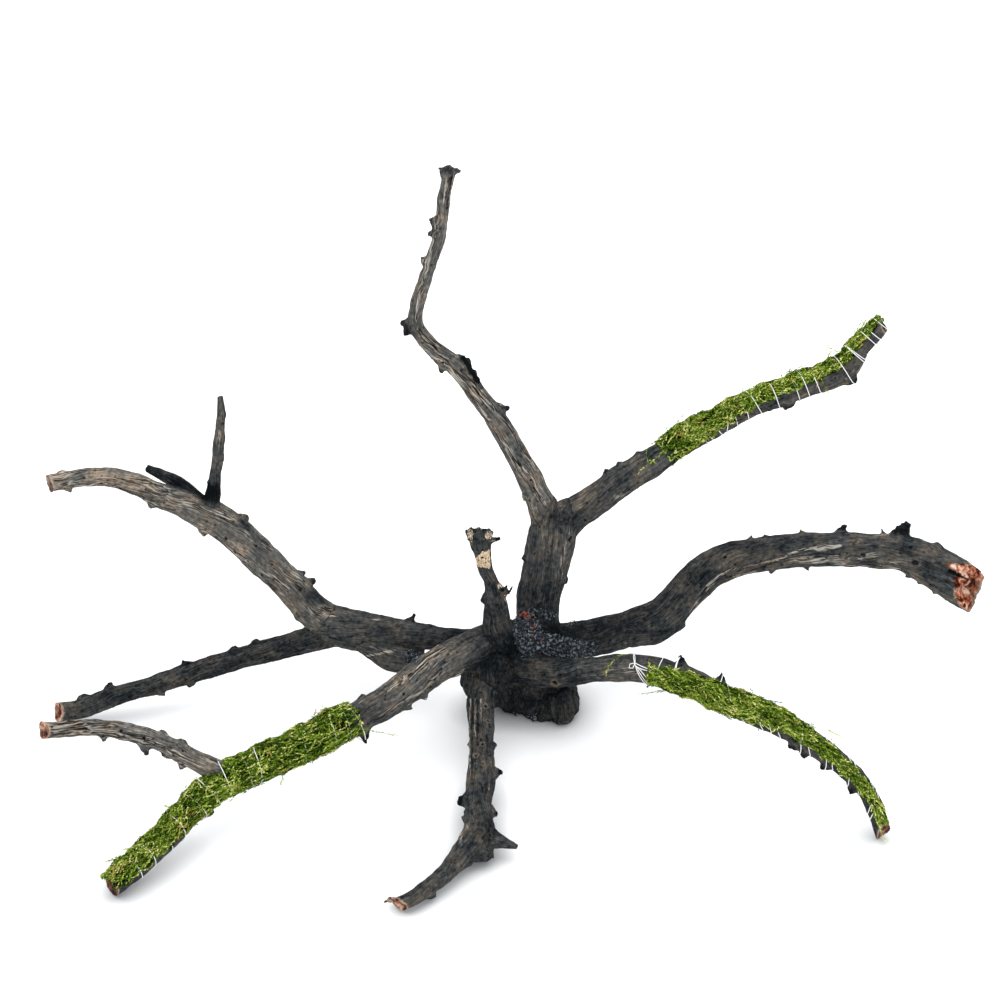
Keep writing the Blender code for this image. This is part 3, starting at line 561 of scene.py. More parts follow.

# Patches: where they show, half sizes across and up in the picture, and how much paler the wood
# is there; below nought it is darker. The patch at (822, 549) is a painted highlight and the one
# at (545, 640) painted shade in the hollow under the root hairs.
PATCHES = [
    # The first patch here, at (822, 549), is a painted highlight.
    (822, 549, 8, 4, 0.8), (868, 555, 14, 9, 0.30), (895, 566, 12, 6, 0.2), (735, 545, 34, 9, -0.2),
    (690, 575, 22, 12, -0.2), (800, 538, 40, 8, -0.15), (620, 612, 50, 14, -0.15), (905, 550, 16, 7, -0.2),
    (930, 572, 20, 12, -0.25), (466, 629, 11, 4, 0.5), (366, 714, 24, 12, -0.3), (212, 494, 22, 12, -0.6),
    (250, 524, 18, 8, -0.5), (318, 596, 20, 12, -0.6), (440, 352, 16, 7, -0.2), (550, 520, 30, 12, -0.2),
    (486, 792, 18, 16, -0.25), (488, 828, 14, 16, -0.35), (460, 840, 8, 10, 0.25), (468, 826, 3, 5, 0.4),
    # The patch at (545, 640) on this line is painted shade in the hollow under the root hairs.
    (590, 668, 40, 7, 0.12), (610, 495, 30, 8, 0.1), (505, 665, 36, 26, -0.2), (545, 640, 36, 20, -0.5), (450, 169, 14, 8, -0.6),
    (285, 575, 22, 20, 0.1), (410, 330, 12, 14, -0.2), (865, 372, 12, 9, 0.4), (506, 597, 5, 6, 0.5),
    (909, 538, 8, 6, -0.4), (360, 622, 5, 2, 0.5), (378, 620, 8, 3, 0.4), (332, 616, 6, 3, 0.5), (889, 325, 6, 8, 0.5),
]
# Streaks along the grain in the same way, as points of the picture, half width and strength
STREAKS = [
    ([(699, 605), (706, 591), (718, 581), (730, 575), (748, 570), (768, 566), (788, 562), (805, 559),
      (820, 558), (835, 559)], 4.5, 0.34),
    ([(707, 586), (718, 576), (730, 570), (755, 564), (780, 559), (788, 555), (800, 550), (820, 547),
      (840, 546)], 1.1, 0.5),
    ([(835, 563), (860, 566), (890, 569), (905, 574)], 2.5, 0.25), ([(690, 612), (697, 603)], 2.0, 0.3),
    ([(380, 716), (388, 711), (408, 698), (424, 692), (440, 686), (452, 680), (464, 670)], 1.1, 0.75),
    ([(408, 705), (424, 700), (440, 692), (456, 684)], 1.0, 0.5),
    ([(386, 690), (404, 680), (420, 668), (432, 658), (444, 648)], 2.4, 0.5),
    ([(362, 657), (378, 654), (396, 650)], 1.0, 0.6), ([(350, 610), (380, 612)], 1.0, 0.35),
    ([(470, 700), (469, 740), (470, 775)], 1.1, 0.6), ([(475, 698), (475, 745)], 1.0, 0.6),
    ([(481, 700), (481, 735)], 1.0, 0.55), ([(490, 760), (489, 790)], 1.0, 0.5),
    ([(472.5, 700), (472, 780)], 0.9, -0.5), ([(478, 700), (478, 745)], 0.9, -0.5),
    ([(467, 715), (466, 770)], 0.9, -0.4), ([(487, 735), (486, 790)], 1.2, -0.3),
    ([(461, 354), (469, 366), (481, 387)], 2.4, -0.6), ([(147, 467), (175, 480), (204, 492)], 7.0, -0.9),
    ([(230, 505), (262, 548), (300, 600)], 2.0, -0.3), ([(548, 612), (546, 560), (552, 520)], 1.2, 0.2),
    ([(560, 600), (562, 560), (570, 530)], 1.0, 0.2), ([(440, 200), (428, 262), (414, 320)], 1.6, 0.25),
    ([(420, 330), (450, 366), (500, 440), (540, 500)], 2.2, 0.2),
]


def off_line(points):
    """How far each point of the skin shows from a line through points of the picture."""
    apart = np.full(len(moved), 99.0)
    for (x, y), (x2, y2) in zip(points, points[1:]):
        wide, high = x2 - x, y2 - y
        share = ((picture_x - x) * wide + (picture_y - y) * high) / (wide ** 2 + high ** 2)
        share = share.clip(0, 1)
        apart = np.minimum(apart, np.hypot(picture_x - x - share * wide, picture_y - y - share * high))
    return apart


pale = np.zeros(len(skin))
depth = (EYE - moved) @ VIEW_TOWARDS
picture_x = PICTURE / 2 + LENS / SENSOR * PICTURE * ((moved - EYE) @ VIEW_RIGHT) / depth
picture_y = PICTURE / 2 - LENS / SENSOR * PICTURE * ((moved - EYE) @ VIEW_UP) / depth
facing_eye = normals @ VIEW_TOWARDS > 0.0
for x, y, wide, high, strength in PATCHES:
    away = np.hypot((picture_x - x) / wide, (picture_y - y) / high)
    pale += strength * (1 - ramp(away, 0.3, 1.1)) * facing_eye
for points, wide, strength in STREAKS:
    pale += strength * (1 - ramp(off_line(points) / wide, 0.5, 1.5)) * facing_eye
weather_and_shade += 0.8 * np.minimum(pale, 0)

# Where the skin is torn off the centre stub: a cream scar, by its corners in the picture, and
# half torn patches round its crown and its knob
SCAR = [(476, 554), (482, 552), (486, 548), (490, 546), (491, 548), (490.5, 562), (491, 569), (485, 568),
        (478, 567), (475.5, 562)]
HALF_TORN = [(470, 534, 4, 6, 0.62), (471, 541, 3, 5, 0.45), (489, 535, 5, 5, 0.62), (480, 529, 5, 3, 0.4),
             (494, 541, 5, 2, 0.4), (500.5, 586, 4, 4, 0.6), (507, 596, 4, 4, 0.45)]
inside = np.full(len(skin), 9.0)
for (x, y), (x2, y2) in zip(SCAR, SCAR[1:] + SCAR[:1]):
    edge = np.hypot(x2 - x, y2 - y)
    inside = np.minimum(inside, ((x2 - x) * (picture_y - y) - (y2 - y) * (picture_x - x)) / edge)
torn_off = ramp(inside + noises(moved, 0.8, 6.1) * 0.8, -0.6, 0.6)
for x, y, wide, high, strength in HALF_TORN:
    away = np.hypot((picture_x - x) / wide, (picture_y - y) / high)
    torn_off = np.maximum(torn_off, strength * (1 - ramp(away, 0.6, 1.2)))
torn_off *= facing_eye * (sample_branch[near] == NODES.index("centre_stub"))

# The torn red fringe beside the right arm's split, and painted shade along the split
on_arm = facing_eye * (sample_branch[near] == NODES.index("right_arm"))
fringe = np.hypot((picture_x - 957) / 10, (picture_y - 568 - (picture_x - 957) * 0.4) / 3.2)
fringe = 1 - ramp(fringe + noises(moved, 0.9, 3.3) * 0.4, 0.7, 1.0)
heart = np.maximum(heart, fringe * on_arm)
split = 1 - ramp(off_line(SPLIT) + noises(moved, 1.2, 2.9) * 1.2, 1.4, 2.4)
shadowed = np.maximum(shadowed, split * on_arm)


def new_material(name):
    made = bpy.data.materials.new(name)
    made.use_nodes = True
    return made, made.node_tree, made.node_tree.nodes["Principled BSDF"]


def node(tree, kind, inputs=(), **settings):
    """A shader node with its settings and inputs; an input is a value or another node's output."""
    made = tree.nodes.new(kind)
    for key, value in settings.items():
        setattr(made, key, value)
    for key, value in dict(inputs).items():
        if isinstance(value, bpy.types.NodeSocket):
            tree.links.new(value, made.inputs[key])
        else:
            made.inputs[key].default_value = value
    return made


def attribute(tree, name, output="Fac"):
    return node(tree, "ShaderNodeAttribute", attribute_name=name).outputs[output]


def streaks(tree, vector, size, detail):
    """Noise over a vector in mm with lumps of the given size along each axis."""
    scaled = node(tree, "ShaderNodeVectorMath", {0: vector, 1: [1 / s for s in size]}, operation="MULTIPLY")
    return node(tree, "ShaderNodeTexNoise", {"Vector": scaled.outputs[0], "Scale": 1.0, "Detail": detail,
                                             "Roughness": 0.62}).outputs["Fac"]


def maths(tree, operation, *values):
    return node(tree, "ShaderNodeMath", dict(enumerate(values)), operation=operation).outputs[0]


def colour_ramp(tree, factor, stops):
    made = node(tree, "ShaderNodeValToRGB", {"Fac": factor})
    points = made.color_ramp.elements
    while len(points) < len(stops):
        points.new(0.5)
    for point, (at, colour) in zip(points, stops):
        point.position = at
        point.color = (*colour, 1)
    return made.outputs["Color"]


def mixed(tree, factor, first, second, blend="MIX"):
    made = node(tree, "ShaderNodeMix", data_type="RGBA", blend_type=blend)
    for key, value in (("Factor_Float", factor), ("A_Color", first), ("B_Color", second)):
        socket = next(s for s in made.inputs if s.identifier == key)
        if isinstance(value, bpy.types.NodeSocket):
            tree.links.new(value, socket)
        else:
            socket.default_value = value
    return next(s for s in made.outputs if s.identifier == "Result_Color")


wood, tree, shader = new_material("driftwood")
where = node(tree, "ShaderNodeTexCoord").outputs["Object"]
eddy = node(tree, "ShaderNodeTexNoise", {"Vector": where, "Scale": 150.0, "Detail": 1.5}).outputs["Color"]
eddy = node(tree, "ShaderNodeVectorMath", {0: eddy, 1: (2.2, 2.2, 3.0), 2: (-1.1, -1.1, -1.5)},
            operation="MULTIPLY_ADD").outputs[0]
in_grain = node(tree, "ShaderNodeVectorMath", {0: attribute(tree, "grain", "Vector"), 1: eddy},
                operation="ADD").outputs[0]
patch = streaks(tree, in_grain, (4.0, 4.0, 30.0), 4)
broad = streaks(tree, in_grain, (1.1, 1.1, 20.0), 3)
fine = streaks(tree, in_grain, (0.42, 0.42, 9.0), 2)
blotch = node(tree, "ShaderNodeTexNoise", {"Vector": where, "Scale": 140.0, "Detail": 4.0}).outputs["Fac"]
speck = node(tree, "ShaderNodeTexNoise", {"Vector": where, "Scale": 750.0, "Detail": 3.0}).outputs["Fac"]
pits = node(tree, "ShaderNodeTexVoronoi", {"Vector": where, "Scale": 330.0}).outputs["Distance"]

# The dark outer skin, near black where it stays wet and where painted shade darkens its grooves, with a few pale
# rubbed flecks
dark_level = maths(tree, "MULTIPLY_ADD", attribute(tree, "weather_and_shade"), 0.8, -0.95)
dark_level = maths(tree, "MULTIPLY_ADD", patch, 0.45, dark_level)
dark_level = maths(tree, "MULTIPLY_ADD", fine, 0.85, dark_level)
dark_level = maths(tree, "MULTIPLY_ADD", speck, 0.70, dark_level)
dark_level = maths(tree, "MULTIPLY_ADD", blotch, 0.70, dark_level)
dark = colour_ramp(tree, dark_level, [
    (0.0, (0.003, 0.004, 0.005)), (0.24, (0.0135, 0.0155, 0.0175)), (0.46, (0.043, 0.0445, 0.0445)),
    (0.66, (0.084, 0.081, 0.075)), (0.85, (0.150, 0.138, 0.120)), (1.0, (0.28, 0.25, 0.21))])

# The weathered grain below it, in fine pale and dark lines
line_level = maths(tree, "MULTIPLY_ADD", fine, 3.4, -1.94)
line_level = maths(tree, "MULTIPLY_ADD", broad, 1.15, line_level)
# Pale patches, the painted highlight among them, lift the grain's lines.
line_level = maths(tree, "MULTIPLY_ADD", maths(tree, "MAXIMUM", attribute(tree, "pale"), 0.0), 0.3, line_level)
line_level = maths(tree, "MULTIPLY_ADD", speck, 0.25, line_level)
lines = colour_ramp(tree, line_level, [
    (0.0, (0.005, 0.005, 0.005)), (0.28, (0.024, 0.021, 0.019)), (0.48, (0.090, 0.079, 0.068)),
    (0.7, (0.205, 0.183, 0.155)), (1.0, (0.40, 0.370, 0.325))])

# How far the dark skin is worn through to the grain, raised by painted highlights and lowered by painted shade.
wear_and_painted_light = maths(tree, "MULTIPLY_ADD", patch, 2.2, -1.62)
wear_and_painted_light = maths(tree, "ADD", wear_and_painted_light, attribute(tree, "weather_and_shade"))
wear_and_painted_light = maths(tree, "ADD", wear_and_painted_light, attribute(tree, "pale"))
wear_and_painted_light = maths(tree, "MULTIPLY_ADD", broad, 0.9, wear_and_painted_light)
wear_and_painted_light = node(tree, "ShaderNodeMapRange", {"Value": wear_and_painted_light, "From Min": 0.30, "From Max": 0.62},
            interpolation_type="SMOOTHSTEP").outputs[0]
bare = mixed(tree, wear_and_painted_light, dark, lines)
warm = mixed(tree, maths(tree, "MULTIPLY_ADD", blotch, 4.0, -1.7), (0.97, 1.0, 1.02, 1), (1.12, 0.99, 0.88, 1))
bare = mixed(tree, 1.0, bare, warm, "MULTIPLY")
chip = streaks(tree, in_grain, (0.32, 0.32, 0.9), 2)
torn = colour_ramp(tree, maths(tree, "MULTIPLY_ADD", chip, 2.2, -0.6), [
    (0.0, (0.05, 0.022, 0.012)), (0.25, (0.30, 0.17, 0.09)), (0.5, (0.56, 0.42, 0.26)), (1.0, (0.84, 0.76, 0.62))])
scar = node(tree, "ShaderNodeMapRange", {
    "Value": maths(tree, "MULTIPLY_ADD", chip, 1.8, maths(tree, "ADD", attribute(tree, "torn_off"), -0.9)),
    "From Min": 0.52, "From Max": 0.64})
bare = mixed(tree, scar.outputs[0], bare, torn)
pit = node(tree, "ShaderNodeMapRange", {"Value": pits, "From Min": 0.10, "From Max": 0.20, "To Min": 0.35})
bare = mixed(tree, 1.0, bare, pit.outputs[0], "MULTIPLY")

clump = node(tree, "ShaderNodeTexNoise", {"Vector": where, "Scale": 330.0, "Detail": 3.0}).outputs["Fac"]
red_level = maths(tree, "MULTIPLY_ADD", clump, 3.0, maths(tree, "MULTIPLY_ADD", speck, 1.4, -1.75))
red = colour_ramp(tree, red_level, [
    (0.0, (0.035, 0.008, 0.004)), (0.25, (0.15, 0.035, 0.016)), (0.5, (0.42, 0.14, 0.07)),
    (0.72, (0.60, 0.30, 0.20)), (1.0, (0.82, 0.60, 0.47))])
ends = mixed(tree, attribute(tree, "heart"), bare, red)
ends = mixed(tree, attribute(tree, "rim"), ends, (0.46, 0.36, 0.28, 1))
ends = mixed(tree, attribute(tree, "ring"), ends, (0.22, 0.175, 0.13, 1))
ends = mixed(tree, attribute(tree, "shadowed"), ends, (0.008, 0.007, 0.006, 1))
# Painted shade: near black in the sunk pits of the knots and along the split in the right arm's end.
inside = maths(tree, "GREATER_THAN", 0.55, attribute(tree, "knot"))
ends = mixed(tree, maths(tree, "MULTIPLY", inside, 0.85), ends, (0.006, 0.005, 0.005, 1))
tree.links.new(ends, shader.inputs["Base Color"])
shader.inputs["Roughness"].default_value = 0.7
shader.inputs["Specular IOR Level"].default_value = 0.03
height = maths(tree, "MULTIPLY_ADD", fine, 0.7, maths(tree, "MULTIPLY", broad, 0.8))
height = maths(tree, "MULTIPLY_ADD", speck, 0.3, height)
height = maths(tree, "MULTIPLY_ADD", pit.outputs[0], 0.25, height)
bump = node(tree, "ShaderNodeBump", {"Height": height, "Strength": 0.9, "Distance": 0.0014})
tree.links.new(bump.outputs["Normal"], shader.inputs["Normal"])


def piece_of(name, places, faces, material, smooth=True):
    """A mesh piece from places in mm, at the origin."""
    mesh = bpy.data.meshes.new(name)
    mesh.from_pydata((places * MM).tolist(), [], np.asarray(faces).tolist())
    mesh.materials.append(material)
    mesh.polygons.foreach_set("use_smooth", [smooth] * len(mesh.polygons))
    made = bpy.data.objects.new(name, mesh)
    bpy.context.scene.collection.objects.link(made)
    return made


def give(mesh, name, values):
    kind = "FLOAT_VECTOR" if values.ndim == 2 else "FLOAT"
    layer = mesh.attributes.new(name, kind, "POINT")
    layer.data.foreach_set("vector" if values.ndim == 2 else "value", values.ravel())


shape.vertices.foreach_set("co", moved.ravel())
shape.update()
shape.vertex_normals.foreach_get("vector", (shading := np.empty(len(skin) * 3)))
shading = shading.reshape(-1, 3)
face_owner = owner[quads].max(1)
for number, name in enumerate(NODES):
    faces = quads[face_owner == number]
    used, faces = np.unique(faces, return_inverse=True)
    part = piece_of(f"wood_{name}", moved[used], faces.reshape(-1, 4), wood)
    for label, values in (("grain", grain), ("weather_and_shade", weather_and_shade), ("heart", heart), ("rim", rim),
                          ("ring", ring), ("knot", knot), ("pale", pale),
                          ("torn_off", torn_off), ("shadowed", shadowed)):
        give(part.data, label, values[used])
    part.data.normals_split_custom_set_from_vertices(shading[used].tolist())
    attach(part, "root")
    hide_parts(name)


# The root hairs. A mat of wiry looped hairs, grown by the living root and now blue-black and stiff,
# in the hollow between the stem and the right arm, with a few flakes of red bark caught in it. The
# same hairs fringe the stump's underside and the stub behind.
HAIR_PATCHES = [
    # picture place, half sizes and slope of the patch, number of hairs, longest hair in mm
    (528, 634, 15, 23, 0.3, 800, 2.5), (556, 646, 30, 10, 0.15, 1100, 2.3), (584, 649, 13, 7, 0.0, 260, 2.1),
    (538, 615, 22, 6, 0.05, 100, 1.8), (572, 622, 12, 3, 0.0, 14, 3.0), (519, 717, 26, 3, 0.0, 90, 2.2),
    (562, 722, 15, 4, 0.0, 60, 2.0), (412, 656, 8, 6, 0.0, 120, 3.0),
]
HAIR_RADIUS = 0.1
# Flakes: picture place and size in mm
FLAKES = [
    (519, 612, 0.5), (522, 614, 0.7), (526, 612, 0.9), (529, 615, 0.8), (526, 617, 0.6), (533, 621, 0.4),
    (535, 626, 0.5), (532, 630, 0.6), (531, 636, 0.5), (541, 640, 0.4),
]


def tubes(paths, radii, sides=3):
    """Thin tubes along many paths of equally many points: places and triangles."""
    count, points = paths.shape[:2]
    tangent = np.gradient(paths, axis=1)
    tangent /= np.linalg.norm(tangent, axis=-1, keepdims=True).clip(1e-6)
    side = np.cross(tangent, (0.3, 0.2, 0.93))
    side /= np.linalg.norm(side, axis=-1, keepdims=True).clip(1e-6)
    other = np.cross(side, tangent)
    turns = np.arange(sides) * 2 * math.pi / sides
    rings = np.stack([paths + (side * math.cos(a) + other * math.sin(a)) * radii[..., None]
                      for a in turns], 2)
    first = np.arange(count)[:, None, None] * points * sides
    a = first + np.arange(points - 1)[None, :, None] * sides + np.arange(sides)
    b = first + np.arange(points - 1)[None, :, None] * sides + np.roll(np.arange(sides), -1)
    faces = np.concatenate([np.stack([a, b, b + sides], -1).reshape(-1, 3),
                            np.stack([a, b + sides, a + sides], -1).reshape(-1, 3)])
    return rings.reshape(-1, 3), faces


hair_rng = np.random.default_rng(11)
hair_paths = []
for x, y, wide, high, slope, count, longest in HAIR_PATCHES:
    for _ in range(count):
        turn = hair_rng.uniform(0, 2 * math.pi)
        reach = math.sqrt(hair_rng.uniform(0, 1))
        across = reach * math.cos(turn)
        found = seen_wood(x + wide * across, y + high * reach * math.sin(turn) + slope * wide * across)
        if not found:
            continue
        place, normal = found
        way = np.cross(normal, hair_rng.normal(size=3))
        way /= np.linalg.norm(way)
        other = np.cross(normal, way)
        length = hair_rng.uniform(0.35, 1.0) * longest
        bend = hair_rng.normal(0, 0.5, 2)
        t = np.linspace(0, 1, 6)[:, None]
        arc = (np.sin(t * math.pi) * hair_rng.uniform(0.2, 0.9) - 0.08) * length * 0.5
        hair_paths.append(place + way * (t - 0.5) * length + normal * arc
                          + other * (np.sin(t * 5 + bend[0] * 4) * bend[1] * length * 0.35))
hair_paths = np.array(hair_paths)
hair_paths[..., 2] = hair_paths[..., 2].clip(0.12)
places, faces = tubes(hair_paths, np.full(hair_paths.shape[:2], HAIR_RADIUS))
hairs, tree, shader = new_material("root_hair")
# Painted highlights: the hairs are blue-black, with pale blue-grey glints in spots along them.
hair_glint = node(tree, "ShaderNodeTexNoise", {"Vector": node(tree, "ShaderNodeTexCoord").outputs["Object"],
                                          "Scale": 1300.0, "Detail": 1.0}).outputs["Fac"]
tree.links.new(colour_ramp(tree, hair_glint, [(0.40, (0.001, 0.002, 0.003)), (0.53, (0.018, 0.025, 0.033)),
                                         (0.64, (0.20, 0.235, 0.27))]), shader.inputs["Base Color"])
shader.inputs["Roughness"].default_value = 0.45
shader.inputs["Specular IOR Level"].default_value = 0.3
tuft = piece_of("hub_hairs", places, faces, hairs, smooth=True)
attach(tuft, "root")
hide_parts("stump")

flake_places, flake_faces = [], []
for x, y, size in FLAKES:
    place, normal = seen_wood(x, y)
    way = np.cross(normal, hair_rng.normal(size=3))
    way /= np.linalg.norm(way)
    other = np.cross(normal, way) + normal * hair_rng.uniform(-0.4, 0.4)
    centre = place + normal * 0.8
    base = len(flake_places) * 8
    flake_places.append([centre + way * a * size + other * b * size * 0.5 + normal * c * 0.12
                         for c in (-1, 1) for a, b in ((-1, -0.7), (0.8, -1), (1, 0.6), (-0.5, 1))])
    flake_faces += [[base + i for i in face] for face in (
        (0, 3, 2, 1), (4, 5, 6, 7), (0, 1, 5, 4), (1, 2, 6, 5), (2, 3, 7, 6), (3, 0, 4, 7))]
bark, tree, shader = new_material("red_bark")
shader.inputs["Base Color"].default_value = (0.19, 0.035, 0.014, 1)
shader.inputs["Roughness"].default_value = 0.7
flakes = piece_of("bark_flakes", np.concatenate(flake_places), flake_faces, bark, smooth=False)
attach(flakes, "root")
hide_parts("stump")


# The moss. Three mats of living aquatic moss: thousands of fine stems set with tiny pointed
# leaves, laid along one side of a branch and tied down, so they trail along it and fray at the
# edges. Each mat is a felted body, coloured near black as painted shade in the mat's depth, with
# leafy stems growing out of it that are painted darker the lower they lie.
MATS = {
    # branch, edges as (mm along, lower edge, upper edge), body thickness, spread of the stems' way
    # from the branch's, their mean tint, seed. The edges are degrees round the branch from the
    # side that faces the eye, positive upwards.
    "upper_right": ("upper_right_branch", [
        (45, -50, 110), (52, -40, 140), (60, -22, 150), (68, -6, 150), (78, 2, 150), (86, 10, 150),
        (96, 22, 150), (104, 34, 150), (112, 40, 150), (118, 38, 150), (124, 48, 140)], 1.4, 0.65, 0.50, 1),
    "lower_right": ("right_lower_branch", [
        (49, -60, 20), (55, -76, 26), (62, -80, 32), (70, -74, 56), (78, -44, 70), (88, -26, 66),
        (98, -18, 46), (108, -22, 30), (118, -24, 22), (126, -20, 26), (131, -18, 34)], 1.25, 0.36, 0.46, 2),
    "left": ("left_mossy_branch", [
        (64, -60, 118), (72, -72, 126), (82, -70, 130), (100, -74, 132), (114, -58, 130), (124, -36, 120),
        (134, -28, 116), (144, -26, 110), (151, -22, 104)], 1.7, 0.34, 0.50, 3),
}
STEMS = 3100
STEM_LENGTH = (3.2, 10.0)
STEM_POINTS = 5
STEM_RADIUS = 0.085
LEAVES = 14
LEAF_LENGTH = 0.85
LEAF_WIDTH = 0.2
STRAYS = 0.04

moss, tree, shader = new_material("moss")
green = colour_ramp(tree, attribute(tree, "tint"), [
    (0.0, (0.001, 0.002, 0.001)), (0.20, (0.009, 0.020, 0.003)), (0.42, (0.055, 0.110, 0.010)),
    (0.62, (0.18, 0.275, 0.027)), (0.80, (0.42, 0.50, 0.085)), (0.93, (0.72, 0.70, 0.28)),
    (1.0, (0.42, 0.24, 0.07))])
tree.links.new(green, shader.inputs["Base Color"])
shader.inputs["Roughness"].default_value = 0.6
shader.inputs["Specular IOR Level"].default_value = 0.0


def interpolated(route, key, along):
    return np.stack([np.interp(along, route["run"], route[key][:, i]) for i in range(3)], -1)


def around(route, along, angle):
    """Centre, radius, outward direction and direction along, at mm along and an angle from the eye."""
    ahead = interpolated(route, "ahead", along)
    ahead /= np.linalg.norm(ahead, axis=-1, keepdims=True)
    front = VIEW_TOWARDS - ahead * (ahead @ VIEW_TOWARDS)[..., None]
    front /= np.linalg.norm(front, axis=-1, keepdims=True)
    upward = np.cross(front, ahead) * np.sign(route["centre"][-1][0] - route["centre"][0][0])
    out = front * np.cos(angle)[..., None] + upward * np.sin(angle)[..., None]
    return interpolated(route, "centre", along), np.interp(along, route["run"], route["radius"]), out, ahead


def band(edges, along):
    """The mat's lower and upper edge, in radians round the branch, at mm along it."""
    rows = np.array(edges, float)
    ripple = 0.10 * np.sin(along * 0.83 + rows[0, 0]) + 0.07 * np.sin(along * 1.9)
    low = np.radians(np.interp(along, rows[:, 0], rows[:, 1])) + ripple
    high = np.radians(np.interp(along, rows[:, 0], rows[:, 2])) - ripple
    return low, high


def moss_thickness(along, angle, edges, thick):
    """How far the felted body stands over the wood; below nought where there's none."""
    low, high = band(edges, along)
    middle, half = (low + high) / 2, (high - low) / 2
    across = 1 - (np.abs(angle - middle) / half) ** 2.6
    close = np.minimum(along - edges[0][0], edges[-1][0] - along)
    full = np.clip(0.35 + close / 9.0, 0, 1)
    swell = 1 + 0.22 * np.sin(along * 0.55 + 2) + 0.14 * np.sin(along * 1.3)
    return thick * full * swell * across.clip(-0.8 / thick, 1)


def leafy(paths, outward, tint, shade, rng, leaf_length):
    """Stems set with leaves: paths of points and which way is out, the tint of each stem and how
    much painted shade darkens it at each point; gives places, triangles and tints."""
    count, points = paths.shape[:2]
    leaf_tint = tint[:, None] - shade
    tangent = np.gradient(paths, axis=1)
    tangent /= np.linalg.norm(tangent, axis=-1, keepdims=True).clip(1e-6)
    side = np.cross(tangent, outward)
    side /= np.linalg.norm(side, axis=-1, keepdims=True).clip(1e-6)
    other = np.cross(side, tangent)
    thin = STEM_RADIUS * np.broadcast_to(1 - 0.6 * np.linspace(0, 1, points), (count, points))
    rings, ring_faces = tubes(paths, thin)
    places, faces, tints = [rings], [ring_faces], [np.repeat(tint * 0.8, points * 3)]
    base = len(rings)
    for leaf in range(LEAVES):
        spot = (leaf + 1.0) / LEAVES * (points - 1)
        low = min(int(spot), points - 2)
        share = spot - low
        foot, onward, beside, above = (rows[:, low] * (1 - share) + rows[:, low + 1] * share
                                       for rows in (paths, tangent, side, other))
        spin = leaf * 2.4 + rng.uniform(-0.5, 0.5, count)
        spread = beside * np.cos(spin)[:, None] + above * np.sin(spin)[:, None]
        opening = rng.uniform(0.2, 0.75, count)[:, None] * (0.35 if leaf == LEAVES - 1 else 1)
        blade = onward + spread * opening
        blade /= np.linalg.norm(blade, axis=1, keepdims=True).clip(1e-6)
        size = leaf_length * rng.uniform(0.7, 1.25, count)[:, None]
        flat = np.cross(blade, spread)
        flat /= np.linalg.norm(flat, axis=1, keepdims=True).clip(1e-6)
        belly = foot + blade * size * 0.4
        corners = np.stack([foot, belly + flat * LEAF_WIDTH, foot + blade * size, belly - flat * LEAF_WIDTH], 1)
        places.append(corners.reshape(-1, 3))
        shade = (leaf_tint[:, low] * (1 - share) + leaf_tint[:, low + 1] * share
                 + rng.uniform(-0.07, 0.07, count) + 0.16 * (leaf / LEAVES - 0.4))
        tints.append(np.repeat(np.where(tint >= 0.95, 1.0, shade.clip(0, 0.93)), 4))
        at = base + np.arange(count)[:, None] * 4
        faces += [at + np.array((0, 1, 2)), at + np.array((0, 2, 3))]
        base += count * 4
    return np.concatenate(places), np.concatenate(faces), np.concatenate(tints)


def grown_stems(route, edges, thick, spread, mean_tint, seed):
    """The mat's leafy stems, lying over its body."""
    rng = np.random.default_rng(seed)
    start, end = edges[0][0], edges[-1][0]
    along = rng.uniform(start - 1.0, end - 1.5, STEMS)
    low, high = band(edges, along)
    margin = 0.16
    angle = low + margin + (high - low - 2 * margin) * rng.uniform(0, 1, STEMS)
    length = rng.uniform(*STEM_LENGTH, STEMS) * rng.uniform(0.55, 1.0, STEMS)
    way = rng.normal(0, spread, STEMS) + np.where(rng.uniform(size=STEMS) < 0.3, math.pi, 0)
    stray = rng.uniform(size=STEMS) < STRAYS
    lift = rng.uniform(0, 1, STEMS) ** 2 * np.where(stray, 2.6, 0.7)
    sway = rng.normal(0, 0.7, STEMS)
    depth = rng.uniform(-0.45, 0.55, STEMS)
    t = np.linspace(0, 1, STEM_POINTS)[None, :]
    s = along[:, None] + length[:, None] * t * np.cos(way + sway * 0.5)[:, None]
    s = np.clip(s, start - 2.5, min(end + 1.5, route["run"][-1]))
    local = np.interp(along, route["run"], route["radius"]) + 1.5
    turn = length[:, None] / local[:, None] * (t * np.sin(way)[:, None] + 0.35 * t ** 2 * sway[:, None])
    low, high = band(edges, s)
    slack = np.where(stray, 0.35, 0.05)[:, None]
    phi = np.clip(angle[:, None] + turn, low - slack, high + slack)
    rest = moss_thickness(s, phi, edges, thick).clip(0.05, None)
    centre, radius, out, _ = around(route, s, phi)
    height = rest + depth[:, None] + 0.45 * np.sin(t * 3.0) + lift[:, None] * t ** 2
    paths = centre + out * (radius + height.clip(0.12))[..., None]
    paths[..., 2] = paths[..., 2].clip(0.3)
    clump = noises(paths[:, 2], 5.0, seed * 3.3) * 0.20
    tint = np.clip(rng.normal(mean_tint + 0.07, 0.21, STEMS) + clump, 0.04, 0.92)
    tint[rng.uniform(size=STEMS) < 0.025] = 1.0
    # Painted shade: stems that lie lower in the mat are darkened.
    sunk = 0.55 * (1 - ramp(height - rest, -0.3, 0.8))
    return leafy(paths, out, tint, sunk, rng, LEAF_LENGTH)


